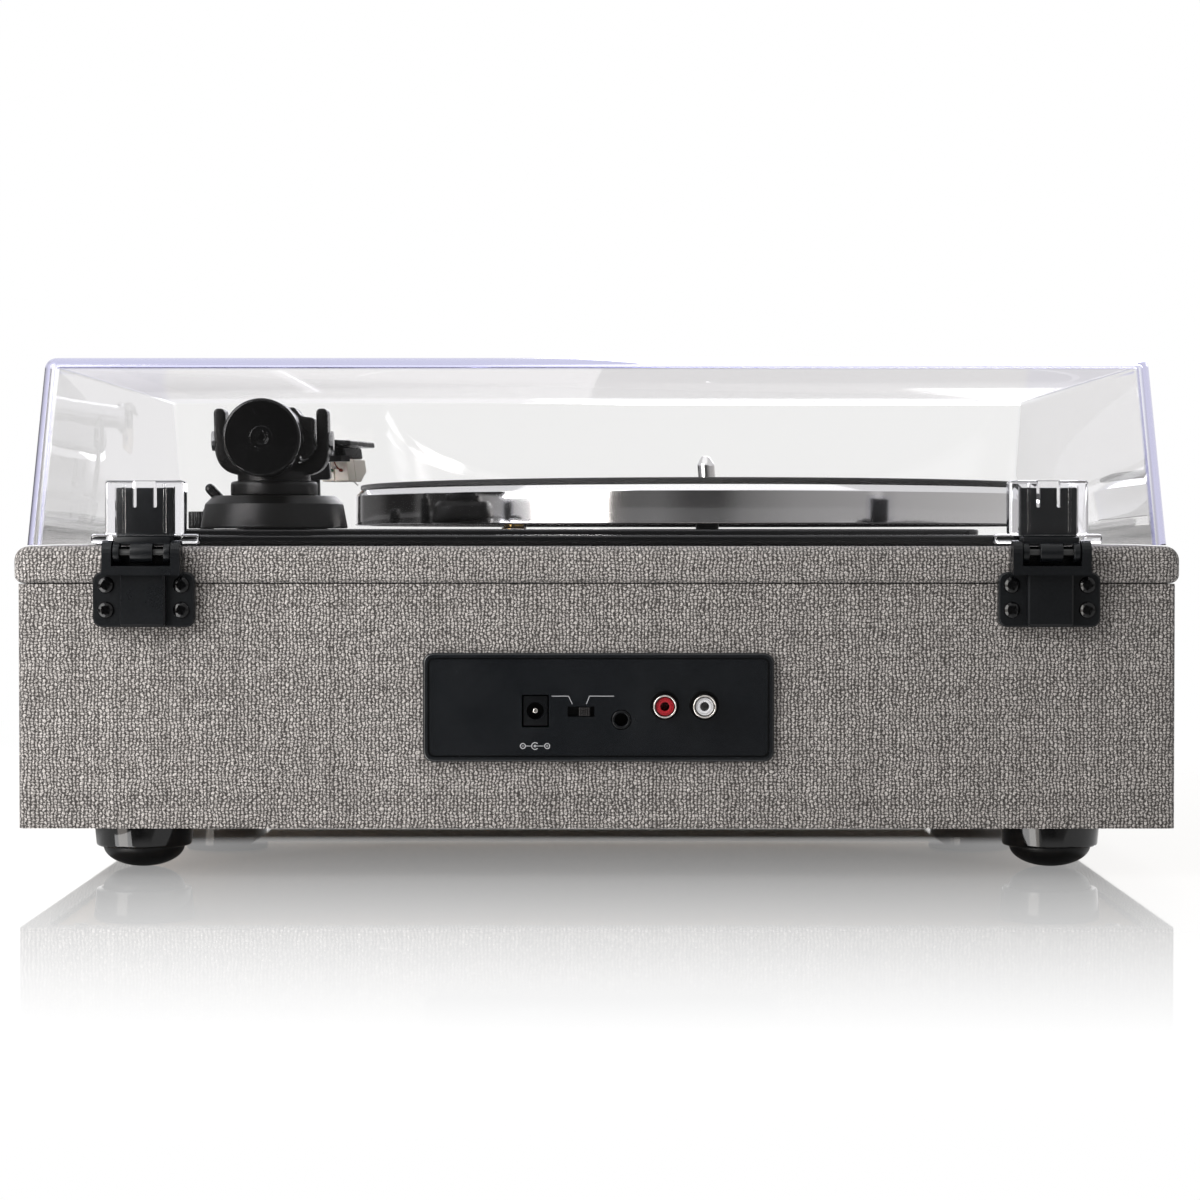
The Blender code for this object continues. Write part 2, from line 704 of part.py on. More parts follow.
# Cabinet
def corner_block_places():
    x = CABINET_WIDTH / 2 - CABINET_WALL - CORNER_BLOCK_SIDE / 2
    y = CABINET_DEPTH / 2 - CABINET_WALL - CORNER_BLOCK_SIDE / 2
    return [(side * x, MIDDLE_Y + end * y) for side in (-1, 1) for end in (-1, 1)]


def hinge_screw_places():
    return [(side * HINGE_X + across * HINGE_SCREW_X, HINGE_SCREW_MID_Z + up * HINGE_SCREW_HALF_PITCH)
            for side in (-1, 1) for across in (-1, 1) for up in (-1, 1)]


def deck_screw_places():
    return [(x, y) for x in (DECK_LEFT_X + DECK_SCREW_INSET, DECK_RIGHT_X - DECK_SCREW_INSET)
            for y in (depth_y(DECK_BACK_DEPTH + DECK_SCREW_INSET), FRONT_Y + DECK_FRONT_INSET + DECK_SCREW_INSET)]


def hinge_pilot_holes(name):
    """Holes for the hinge screws, through the wall and the edge of the top board."""
    radius = HINGE_SCREW_SHANK_RADIUS + SEAT_GAP
    low = BACK_Y - CABINET_WALL - OVERRUN
    high = BACK_Y + TOP_BOARD_OVERHANG + OVERRUN
    return join_meshes(name, [rod_mesh("hole", radius, low, high, SMALL_STEPS, place, "Y")
                              for place in hinge_screw_places()])


def make_cabinet_walls():
    walls = add_part("cabinet_walls", box_mesh(
        "cabinet_walls", (-CABINET_WIDTH / 2, FRONT_Y, CABINET_BASE_Z), (CABINET_WIDTH / 2, BACK_Y, WALL_TOP_Z),
        round_axis=2, corner=CABINET_CORNER), "fabric")
    inner_x = CABINET_WIDTH / 2 - CABINET_WALL
    inner_y = CABINET_DEPTH / 2 - CABINET_WALL
    cut(walls, add_guide("cabinet_room", box_mesh(
        "cabinet_room", (-inner_x, MIDDLE_Y - inner_y, CABINET_BASE_Z - OVERRUN),
        (inner_x, MIDDLE_Y + inner_y, WALL_TOP_Z + OVERRUN))))
    base = BOTTOM_TOP_Z + SEAT_GAP
    half = CORNER_BLOCK_SIDE / 2
    blocks = []
    for x, y in corner_block_places():
        out_x = x + (half + OVERRUN if x > 0 else -half - OVERRUN)
        in_x = x - (half if x > 0 else -half)
        out_y = y + (half + OVERRUN if y > MIDDLE_Y else -half - OVERRUN)
        in_y = y - (half if y > MIDDLE_Y else -half)
        low = (min(out_x, in_x), min(out_y, in_y), base)
        high = (max(out_x, in_x), max(out_y, in_y), base + CORNER_BLOCK_HEIGHT)
        blocks.append(box_mesh("block", low, high))
    fuse(walls, add_guide("corner_blocks", join_meshes("corner_blocks", blocks)))
    half_width = PANEL_WIDTH / 2 - PANEL_SKIRT_INSET + SEAT_GAP
    half_height = PANEL_HEIGHT / 2 - PANEL_SKIRT_INSET + SEAT_GAP
    cut(walls, add_guide("panel_opening", box_mesh(
        "panel_opening", (PANEL_X - half_width, BACK_Y - CABINET_WALL - OVERRUN, PANEL_Z - half_height),
        (PANEL_X + half_width, BACK_Y + OVERRUN, PANEL_Z + half_height))))
    openings = [rod_mesh("opening", SPEAKER_OPENING_RADIUS, FRONT_Y + SPEAKER_CLOTH_THICKNESS,
                         FRONT_Y + CABINET_WALL + OVERRUN, ROUND_STEPS, (side * SPEAKER_X, SPEAKER_Z), "Y")
                for side in (-1, 1)]
    cut(walls, add_guide("speaker_openings", join_meshes("speaker_openings", openings)))
    cut(walls, add_guide("hinge_holes_in_wall", hinge_pilot_holes("hinge_holes_in_wall")))
    cut(walls, add_guide("bottom_holes_in_blocks", bottom_screw_holes("bottom_holes_in_blocks")))


def make_top_board():
    reach_x = CABINET_WIDTH / 2 + TOP_BOARD_OVERHANG
    reach_y = CABINET_DEPTH / 2 + TOP_BOARD_OVERHANG
    bm = box_bm((-reach_x, MIDDLE_Y - reach_y, BOARD_BASE_Z), (reach_x, MIDDLE_Y + reach_y, BOARD_TOP_Z))
    bevel_edges(bm, edges_along(bm, 2), TOP_BOARD_CORNER, 4)
    upper = [e for e in bm.edges if all(abs(v.co.z - BOARD_TOP_Z) < WELD for v in e.verts)]
    bevel_edges(bm, upper, TOP_BOARD_UPPER_ROUND, 4)
    lower = [e for e in bm.edges if all(abs(v.co.z - BOARD_BASE_Z) < WELD for v in e.verts)]
    bevel_edges(bm, lower, TOP_BOARD_LOWER_ROUND, 3)
    board = add_part("top_board", smooth(mesh_from(bm, "top_board")), "fabric")
    cut(board, add_guide("board_opening", box_mesh(
        "board_opening",
        (BOARD_OPENING_LEFT_X, FRONT_Y + BOARD_OPENING_FRONT_INSET, BOARD_BASE_Z - OVERRUN),
        (BOARD_OPENING_RIGHT_X, depth_y(BOARD_OPENING_BACK_DEPTH), BOARD_TOP_Z + OVERRUN))))
    cut(board, add_guide("hinge_holes_in_board", hinge_pilot_holes("hinge_holes_in_board")))
    cut(board, add_guide("deck_holes_in_board", deck_screw_holes("deck_holes_in_board")))


def bottom_screw_holes(name):
    radius = BOTTOM_SCREW_SHANK_RADIUS + SEAT_GAP
    high = BOTTOM_BASE_Z + BOTTOM_SCREW_LENGTH + OVERRUN
    return join_meshes(name, [rod_mesh("hole", radius, BOTTOM_BASE_Z - OVERRUN, high, SMALL_STEPS, place)
                              for place in corner_block_places()])


def make_bottom_panel():
    reach_x = CABINET_WIDTH / 2 - CABINET_WALL - SEAT_GAP
    reach_y = CABINET_DEPTH / 2 - CABINET_WALL - SEAT_GAP
    panel = add_part("bottom_panel", box_mesh(
        "bottom_panel", (-reach_x, MIDDLE_Y - reach_y, BOTTOM_BASE_Z), (reach_x, MIDDLE_Y + reach_y, BOTTOM_TOP_Z)),
        "board_brown")
    cut(panel, add_guide("bottom_holes_in_panel", bottom_screw_holes("bottom_holes_in_panel")))


# Feet
def foot_places():
    y = CABINET_DEPTH / 2 - FOOT_INSET_Y
    return {"foot_%s_%s" % (end_word, side_word): (side * FOOT_X, MIDDLE_Y + end * y, 0)
            for side, side_word in SIDES for end, end_word in ENDS}


def make_feet():
    """Four feet; the dome hangs below the cup's rim and ends in a small flat."""
    top = BOTTOM_BASE_Z - SEAT_GAP
    low = FOOT_PAD_HEIGHT
    rise = FOOT_PAD_HEIGHT - FOOT_PAD_SKIRT
    dome = [(FOOT_PAD_FLAT_RADIUS + (FOOT_PAD_RADIUS - FOOT_PAD_FLAT_RADIUS) * cos(pi / 2 * i / 4),
             rise * (1 - sin(pi / 2 * i / 4))) for i in range(5)]
    profile = [(0, top), (FOOT_CUP_TOP_RADIUS - FOOT_CUP_EDGE, top), (FOOT_CUP_TOP_RADIUS, top - FOOT_CUP_EDGE),
               (FOOT_CUP_LOW_RADIUS, low + FOOT_CUP_EDGE), (FOOT_CUP_LOW_RADIUS - FOOT_CUP_EDGE, low),
               (FOOT_PAD_RADIUS, low), *dome, (0, 0)]
    for name, place in foot_places().items():
        add_part(name, turned_mesh(name, profile, ROUND_STEPS, place), "rubber_black")


# Speakers
def make_speakers():
    """Each speaker is one sealed unit: flange, dished cone, basket and magnet."""
    front = FRONT_Y + CABINET_WALL + SEAT_GAP
    back = SPEAKER_BASKET_DEPTH
    profile = [(0, back + SPEAKER_MAGNET_HEIGHT), (SPEAKER_MAGNET_RADIUS, back + SPEAKER_MAGNET_HEIGHT),
               (SPEAKER_MAGNET_RADIUS, back), (SPEAKER_BASKET_END_RADIUS, back),
               (SPEAKER_OPENING_RADIUS, SPEAKER_FLANGE_THICKNESS), (SPEAKER_FLANGE_RADIUS, SPEAKER_FLANGE_THICKNESS),
               (SPEAKER_FLANGE_RADIUS, 0), (SPEAKER_CONE_RADIUS, 0), (SPEAKER_CAP_RADIUS, SPEAKER_CONE_DEPTH),
               (0, SPEAKER_CONE_DEPTH - SPEAKER_CAP_BULGE)]
    for side, word in SIDES:
        name = "speaker_" + word
        add_part(name, turned_mesh(name, profile, ROUND_STEPS, (side * SPEAKER_X, front, SPEAKER_Z), "Y"),
                 "paper")


# Connector panel
PANEL_BACK_Y = BACK_Y + SEAT_GAP
FIELD_Y = PANEL_BACK_Y + PANEL_THICKNESS - PANEL_FIELD_DEPTH
INNER_Y = PANEL_BACK_Y + PANEL_BACK_RELIEF - SEAT_GAP
JACK_BACK_Y = BACK_Y - JACK_BODY_DEPTH


def box_about(name, x, z, width, height, low_y, high_y, grow=0, corner=0):
    """A box centred at (x, z), width by height seen from behind, grown all round."""
    half_width = width / 2 + grow
    half_height = height / 2 + grow
    return box_mesh(name, (x - half_width, low_y, z - half_height), (x + half_width, high_y, z + half_height),
                    1 if corner else None, corner, 4)


def make_connector_panel():
    panel = add_part("connector_panel", box_about(
        "connector_panel", PANEL_X, PANEL_Z, PANEL_WIDTH, PANEL_HEIGHT, PANEL_BACK_Y,
        PANEL_BACK_Y + PANEL_THICKNESS, 0, PANEL_CORNER), "satin_black")
    cut(panel, add_guide("panel_field", box_about(
        "panel_field", PANEL_X, PANEL_Z, PANEL_WIDTH, PANEL_HEIGHT, FIELD_Y,
        FIELD_Y + PANEL_THICKNESS, -PANEL_RIM, PANEL_CORNER - PANEL_RIM)))
    fuse(panel, add_guide("panel_skirt", box_about(
        "panel_skirt", PANEL_X, PANEL_Z, PANEL_WIDTH, PANEL_HEIGHT, BACK_Y - PANEL_SKIRT_DEPTH,
        PANEL_BACK_Y + OVERRUN, -PANEL_SKIRT_INSET)))
    cut(panel, add_guide("skirt_inside", box_about(
        "skirt_inside", PANEL_X, PANEL_Z, PANEL_WIDTH, PANEL_HEIGHT, BACK_Y - PANEL_SKIRT_DEPTH - OVERRUN,
        PANEL_BACK_Y + PANEL_BACK_RELIEF, -PANEL_SKIRT_INSET - PANEL_SKIRT_WALL)))
    post_x = BOARD_WIDTH / 2 - 2 * BOARD_POST_RADIUS
    posts = [rod_mesh("post", BOARD_POST_RADIUS, JACK_BACK_Y, PANEL_BACK_Y + OVERRUN, SMALL_STEPS,
                      (PANEL_X + side * post_x, PANEL_Z), "Y") for side in (-1, 1)]
    fuse(panel, add_guide("board_posts", join_meshes("board_posts", posts)))
    low = INNER_Y - OVERRUN
    high = FIELD_Y + OVERRUN
    cut(panel, add_guide("dc_window", box_about(
        "dc_window", DC_JACK_X, DC_JACK_Z, DC_JACK_WIDTH, DC_JACK_HEIGHT, low, high, SEAT_GAP)))
    cut(panel, add_guide("switch_window", box_about(
        "switch_window", SWITCH_X, SWITCH_Z, SWITCH_SLOT_WIDTH, SWITCH_SLOT_HEIGHT, low, high)))
    round_holes = [rod_mesh("hole", AUX_NECK_RADIUS + SEAT_GAP, low, high, SMALL_STEPS, (AUX_JACK_X, AUX_JACK_Z), "Y")]
    for side in (-1, 1):
        round_holes.append(rod_mesh("hole", RCA_SHELL_RADIUS + SEAT_GAP, low, high, SMALL_STEPS,
                                    (RCA_X + side * RCA_PITCH / 2, RCA_Z), "Y"))
    cut(panel, add_guide("round_windows", join_meshes("round_windows", round_holes)))


def make_sockets():
    front = FIELD_Y - DC_JACK_SET_BACK
    dc_jack = add_part("dc_jack", box_about(
        "dc_jack", DC_JACK_X, DC_JACK_Z, DC_JACK_WIDTH, DC_JACK_HEIGHT, JACK_BACK_Y, front), "satin_black")
    cut(dc_jack, add_guide("dc_hole", rod_mesh(
        "dc_hole", DC_HOLE_RADIUS, front - DC_HOLE_DEPTH, front + OVERRUN, SMALL_STEPS, (DC_JACK_X, DC_JACK_Z), "Y")))
    fuse(dc_jack, add_guide("dc_pin", rod_mesh(
        "dc_pin", DC_PIN_RADIUS, front - DC_HOLE_DEPTH - OVERRUN, front - DC_HOLE_DEPTH + DC_PIN_LENGTH,
        SMALL_STEPS, (DC_JACK_X, DC_JACK_Z), "Y")))
    aux_jack = add_part("aux_jack", box_about(
        "aux_jack", AUX_JACK_X, AUX_JACK_Z, AUX_BODY_SIDE, AUX_BODY_SIDE, JACK_BACK_Y, INNER_Y), "satin_black")
    fuse(aux_jack, add_guide("aux_neck", rod_mesh(
        "aux_neck", AUX_NECK_RADIUS, INNER_Y - OVERRUN, FIELD_Y, SMALL_STEPS, (AUX_JACK_X, AUX_JACK_Z), "Y")))
    cut(aux_jack, add_guide("aux_hole", rod_mesh(
        "aux_hole", AUX_HOLE_RADIUS, FIELD_Y - AUX_HOLE_DEPTH, FIELD_Y + OVERRUN, SMALL_STEPS,
        (AUX_JACK_X, AUX_JACK_Z), "Y")))
    seat = INNER_Y + SEAT_GAP
    tip = FIELD_Y + RCA_STANDS_OUT
    face = tip - RCA_INSERT_SET_BACK
    bore = RCA_SHELL_RADIUS - RCA_SHELL_WALL
    core = bore - SEAT_GAP
    shell = [(bore, tip), (RCA_SHELL_RADIUS, tip), (RCA_SHELL_RADIUS, seat), (bore, seat)]
    insert = [(0, seat), (RCA_HOLE_RADIUS, seat), (RCA_HOLE_RADIUS, face), (core, face),
              (core, INNER_Y - OVERRUN), (0, INNER_Y - OVERRUN)]
    for side, colour in ((1, "red"), (-1, "white")):
        x = RCA_X + side * RCA_PITCH / 2
        add_part("rca_shell_" + colour, turned_mesh("shell", shell, SMALL_STEPS, (x, 0, RCA_Z), "Y"), "steel")
        name = "rca_jack_" + colour
        jack = add_part(name, box_about(
            name, x, RCA_Z, RCA_BLOCK_SIDE, RCA_BLOCK_SIDE, JACK_BACK_Y, INNER_Y), colour)
        fuse(jack, add_guide(name + "_insert", turned_mesh("insert", insert, SMALL_STEPS, (x, 0, RCA_Z), "Y")))


def make_switch():
    body = add_part("switch_body", box_about(
        "switch_body", SWITCH_X, SWITCH_Z, SWITCH_BODY_WIDTH, SWITCH_BODY_HEIGHT, JACK_BACK_Y, INNER_Y),
        "satin_black")
    well_y = INNER_Y - SWITCH_WELL_DEPTH
    cut(body, add_guide("switch_well", box_about(
        "switch_well", SWITCH_X, SWITCH_Z, SWITCH_SLOT_WIDTH, SWITCH_SLOT_HEIGHT, well_y, INNER_Y + OVERRUN)))
    low = well_y + SEAT_GAP
    high = FIELD_Y + SLIDER_STANDS_OUT
    half = SLIDER_WIDTH / 2
    x = SWITCH_X - SWITCH_TRAVEL / 2
    ridges = []
    ribs = int(SLIDER_WIDTH / SLIDER_RIB_PITCH)
    start = x + ribs * SLIDER_RIB_PITCH / 2
    for i in range(ribs):
        left = start - i * SLIDER_RIB_PITCH
        ridges += [(left, high), (left - SLIDER_RIB_PITCH / 2, high),
                   (left - SLIDER_RIB_PITCH / 2, high - SLIDER_RIB_DEPTH),
                   (left - SLIDER_RIB_PITCH, high - SLIDER_RIB_DEPTH)]
    outline = [(x + half, low), (x + half, high - SLIDER_RIB_DEPTH), (start, high - SLIDER_RIB_DEPTH), *ridges[:-1],
               (x - half, high - SLIDER_RIB_DEPTH), (x - half, low)]
    half_height = SWITCH_SLOT_HEIGHT / 2 - SEAT_GAP
    add_part("switch_slider", plate_mesh("switch_slider", outline, SWITCH_Z - half_height, SWITCH_Z + half_height),
             "satin_black", (x, FIELD_Y, SWITCH_Z))


def make_circuit_board():
    high = JACK_BACK_Y - SEAT_GAP
    add_part("circuit_board", box_about(
        "circuit_board", PANEL_X, PANEL_Z, BOARD_WIDTH, BOARD_HEIGHT, high - BOARD_THICKNESS, high), "board_green")


# Hinges
def make_hinge_bracket(side, name):
    x = side * HINGE_X
    plate_out = PANEL_BACK_Y + HINGE_PLATE_THICKNESS
    bracket = add_part(name, box_mesh(
        name, (x - HINGE_PLATE_WIDTH / 2, PANEL_BACK_Y, HINGE_PLATE_BASE_Z),
        (x + HINGE_PLATE_WIDTH / 2, plate_out, HINGE_PLATE_TOP_Z), 1, HINGE_PLATE_CORNER, 3, HINGE_EDGE),
        "satin_black")
    spine_y = BACK_Y + HINGE_SPINE_OUT
    fuse(bracket, add_guide(name + "_spine", box_mesh(
        "spine", (x - HINGE_SPINE_WIDTH / 2, plate_out - OVERRUN, HINGE_PLATE_BASE_Z + HINGE_EDGE),
        (x + HINGE_SPINE_WIDTH / 2, spine_y, HINGE_BLOCK_BASE_Z + OVERRUN), edge=HINGE_EDGE)))
    lip_y = BACK_Y + TOP_BOARD_OVERHANG + SEAT_GAP
    ear_y = HINGE_Y + HINGE_EAR_RADIUS
    half = HINGE_BLOCK_WIDTH / 2
    ear = [(lip_y, HINGE_BLOCK_BASE_Z), (ear_y, HINGE_BLOCK_BASE_Z),
           *arc((HINGE_Y, HINGE_AXIS_Z), HINGE_EAR_RADIUS, 0, pi, 10), (lip_y, HINGE_AXIS_Z - HINGE_EAR_RADIUS / 2)]
    fuse(bracket, add_guide(name + "_ears", plate_mesh("ears", ear, x - half, x + half, "X")))
    window = HINGE_WINDOW_WIDTH / 2
    cut(bracket, add_guide(name + "_window", box_mesh(
        "window", (x - window, lip_y - OVERRUN, HINGE_WINDOW_BASE_Z),
        (x + window, ear_y + OVERRUN, HINGE_AXIS_Z + HINGE_EAR_RADIUS + OVERRUN))))
    cut(bracket, add_guide(name + "_rebate", box_mesh(
        "rebate", (x - HINGE_PLATE_WIDTH, BACK_Y - OVERRUN, WALL_TOP_Z - SEAT_GAP),
        (x + HINGE_PLATE_WIDTH, lip_y, HINGE_BLOCK_BASE_Z + HINGE_EAR_RADIUS))))
    cut(bracket, add_guide(name + "_bore", rod_mesh(
        "bore", HINGE_PIN_RADIUS + SEAT_GAP, x - half - OVERRUN, x + half + OVERRUN, SMALL_STEPS,
        (HINGE_Y, HINGE_AXIS_Z), "X")))
    holes = [rod_mesh("hole", HINGE_SCREW_SHANK_RADIUS + SEAT_GAP, BACK_Y - OVERRUN, spine_y + OVERRUN,
                      SMALL_STEPS, place, "Y") for place in hinge_screw_places() if place[0] * side > 0]
    cut(bracket, add_guide(name + "_screw_holes", join_meshes("holes", holes)))


def make_hinge_leaf(side, name):
    x = side * HINGE_X
    half = HINGE_TAB_WIDTH / 2
    leaf = add_part(name, rod_mesh(name, HINGE_BARREL_RADIUS, x - half, x + half, ROUND_STEPS,
                                   (HINGE_Y, HINGE_AXIS_Z), "X"), "satin_black", (x, HINGE_Y, HINGE_AXIS_Z))
    web_base = BOARD_TOP_Z + SEAT_GAP
    tab_back = HINGE_Y - POCKET_OUT_FROM_AXIS - POCKET_WALL - SEAT_GAP
    tab_front = tab_back - HINGE_TAB_THICKNESS
    web_top = web_base + HINGE_WEB_THICKNESS
    outline = [(HINGE_Y + HINGE_BARREL_RADIUS / 2, web_base - HINGE_WEB_THICKNESS / 2),
               (HINGE_Y + HINGE_BARREL_RADIUS / 2, web_top - HINGE_EDGE),
               (HINGE_Y + HINGE_BARREL_RADIUS / 2 - HINGE_EDGE, web_top), (tab_back, web_top),
               (tab_back, HINGE_TAB_TOP_Z), (tab_front, HINGE_TAB_TOP_Z), (tab_front, web_base),
               (HINGE_Y - HINGE_BARREL_RADIUS / 2, web_base),
               (HINGE_Y - HINGE_BARREL_RADIUS / 2, web_base - HINGE_WEB_THICKNESS / 2)]
    inside = half - HINGE_EDGE / 2
    fuse(leaf, add_guide(name + "_web", plate_mesh("web", outline, x - inside, x + inside, "X")))
    cut(leaf, add_guide(name + "_bore", rod_mesh(
        "bore", HINGE_PIN_RADIUS + SEAT_GAP, x - half - OVERRUN, x + half + OVERRUN, SMALL_STEPS,
        (HINGE_Y, HINGE_AXIS_Z), "X")))
    slots = []
    for way in (-1, 1):
        middle = x + way * HINGE_TAB_SLOT_SPACING / 2
        slots.append(box_mesh("slot", (middle - HINGE_TAB_SLOT_WIDTH / 2, tab_front - OVERRUN,
                                       HINGE_TAB_TOP_Z - HINGE_TAB_SLOT_DEPTH),
                              (middle + HINGE_TAB_SLOT_WIDTH / 2, tab_back + OVERRUN, HINGE_TAB_TOP_Z + OVERRUN)))
    cut(leaf, add_guide(name + "_slots", join_meshes("slots", slots)))


def make_hinge_pins():
    half = HINGE_BLOCK_WIDTH / 2 - SEAT_GAP
    for side, word in SIDES:
        x = side * HINGE_X
        add_part("hinge_pin_" + word, rod_mesh("pin", HINGE_PIN_RADIUS, x - half, x + half, SMALL_STEPS,
                                               (HINGE_Y, HINGE_AXIS_Z), "X"), "steel")


# Dust cover
def make_dust_cover():
    top = LID_BASE_Z + LID_HEIGHT
    bm = box_bm((-LID_HALF_WIDTH, LID_MIDDLE_Y - LID_HALF_DEPTH, LID_BASE_Z),
                (LID_HALF_WIDTH, LID_MIDDLE_Y + LID_HALF_DEPTH, top))
    for vert in bm.verts:
        if vert.co.z > LID_BASE_Z + LID_HEIGHT / 2:
            vert.co.x -= LID_DRAFT if vert.co.x > 0 else -LID_DRAFT
            vert.co.y -= LID_DRAFT if vert.co.y > LID_MIDDLE_Y else -LID_DRAFT
    floor = [face for face in bm.faces if all(abs(v.co.z - LID_BASE_Z) < WELD for v in face.verts)]
    bmesh.ops.delete(bm, geom=floor, context="FACES_ONLY")
    uprights = [e for e in bm.edges if abs(e.verts[0].co.z - e.verts[1].co.z) > LID_HEIGHT / 2]
    bevel_edges(bm, uprights, LID_CORNER, 4)
    rim = [e for e in bm.edges if all(abs(v.co.z - top) < WELD for v in e.verts)]
    bevel_edges(bm, rim, LID_TOP_ROUND, 3)
    cover = add_part("dust_cover", smooth(mesh_from(bm, "dust_cover")), "clear", (0, HINGE_Y, HINGE_AXIS_Z))
    shell = cover.modifiers.new("wall", "SOLIDIFY")
    shell.thickness = LID_WALL
    shell.offset = -1
    shell.use_even_offset = True
    back = HINGE_Y - POCKET_OUT_FROM_AXIS
    front = back - POCKET_SINK
    blocks = []
    cavities = []
    for side in (-1, 1):
        x = side * HINGE_X
        half = POCKET_WIDTH / 2
        blocks.append(box_mesh("pocket", (x - half, front, POCKET_BASE_Z), (x + half, back, POCKET_TOP_Z),
                               edge=HINGE_EDGE))
        slot = HINGE_TAB_WIDTH / 2 + SEAT_GAP
        cavity_back = back - POCKET_WALL
        cavities.append(box_mesh(
            "cavity", (x - slot, cavity_back - HINGE_TAB_THICKNESS - 2 * SEAT_GAP, POCKET_BASE_Z - OVERRUN),
            (x + slot, cavity_back, HINGE_TAB_TOP_Z + SEAT_GAP)))
    fuse(cover, add_guide("pockets", join_meshes("pockets", blocks)))
    feet = []
    for side in (-1, 1):
        for way in (-1, 1):
            inner = side * HINGE_X + way * POCKET_FOOT_INNER
            outer = side * HINGE_X + way * POCKET_FOOT_WIDTH / 2
            feet.append(box_mesh("foot", (min(inner, outer), front, POCKET_FOOT_BASE_Z),
                                 (max(inner, outer), back, POCKET_FOOT_BASE_Z + POCKET_FOOT_HEIGHT)))
    fuse(cover, add_guide("pocket_feet", join_meshes("pocket_feet", feet)))
    cut(cover, add_guide("tab_cavities", join_meshes("tab_cavities", cavities)))


# Deck
def deck_screw_holes(name):
    """Holes up through the top board and a little way into the deck."""
    radius = DECK_SCREW_SHANK_RADIUS + SEAT_GAP
    high = BOARD_BASE_Z + DECK_SCREW_LENGTH
    return join_meshes(name, [rod_mesh("hole", radius, BOARD_BASE_Z - OVERRUN, high, SMALL_STEPS, place)
                              for place in deck_screw_places()])


def motor_screw_places():
    return [(PULLEY_X + way * MOTOR_SCREW_REACH, PULLEY_Y) for way in (-1, 1)]


def make_deck():
    back = depth_y(DECK_BACK_DEPTH)
    front = FRONT_Y + DECK_FRONT_INSET
    deck = add_part("deck_plate", box_mesh(
        "deck_plate", (DECK_LEFT_X, front, DECK_BASE_Z), (DECK_RIGHT_X, back, DECK_TOP_Z),
        2, DECK_CORNER, 5, DECK_EDGE_ROUND), "gloss_black")
    fuse(deck, add_guide("plateau", box_mesh(
        "plateau", (PLATEAU_LEFT_X, front + PLATEAU_EDGE, DECK_BASE_Z + OVERRUN),
        (PLATEAU_RIGHT_X, back - PLATEAU_EDGE, PLATEAU_TOP_Z), 2, DECK_CORNER - PLATEAU_EDGE, 4,
        DECK_EDGE_ROUND)))
    low = DECK_BASE_Z - OVERRUN
    high = PLATEAU_TOP_Z + OVERRUN
    knob_hole = KNOB_SHAFT_RADIUS + RUN_GAP
    wide = [(BEARING_RADIUS + SEAT_GAP, PLATTER_X, PLATTER_Y), (PULLEY_HOLE_RADIUS, PULLEY_X, PULLEY_Y),
            (ARM_SPIGOT_RADIUS + SEAT_GAP, ARM_X, ARM_Y)]
    narrow = [(CUE_SPIGOT_RADIUS + SEAT_GAP, ARM_X, ARM_Y - CUE_REACH),
              (REST_POST_RADIUS + SEAT_GAP, ARM_X, REST_Y),
              (knob_hole, SPEED_KNOB_X, depth_y(SPEED_KNOB_BACK_DEPTH)),
              (knob_hole, VOLUME_KNOB_X, FRONT_Y + VOLUME_KNOB_FRONT_INSET),
              *[(DECK_SCREW_SHANK_RADIUS + SEAT_GAP, *place) for place in motor_screw_places()]]
    holes = [rod_mesh("hole", radius, low, high, ROUND_STEPS, (x, y)) for radius, x, y in wide]
    holes += [rod_mesh("hole", radius, low, high, SMALL_STEPS, (x, y)) for radius, x, y in narrow]
    cut(deck, add_guide("deck_openings", join_meshes("deck_openings", holes)))
    sinks = [rod_mesh("sink", DECK_SCREW_HEAD_RADIUS + SEAT_GAP, PLATEAU_TOP_Z - DECK_SCREW_HEAD_HEIGHT, high,
                      SMALL_STEPS, place) for place in motor_screw_places()]
    cut(deck, add_guide("motor_screw_sinks", join_meshes("motor_screw_sinks", sinks)))
    cut(deck, add_guide("deck_holes_in_deck", deck_screw_holes("deck_holes_in_deck")))


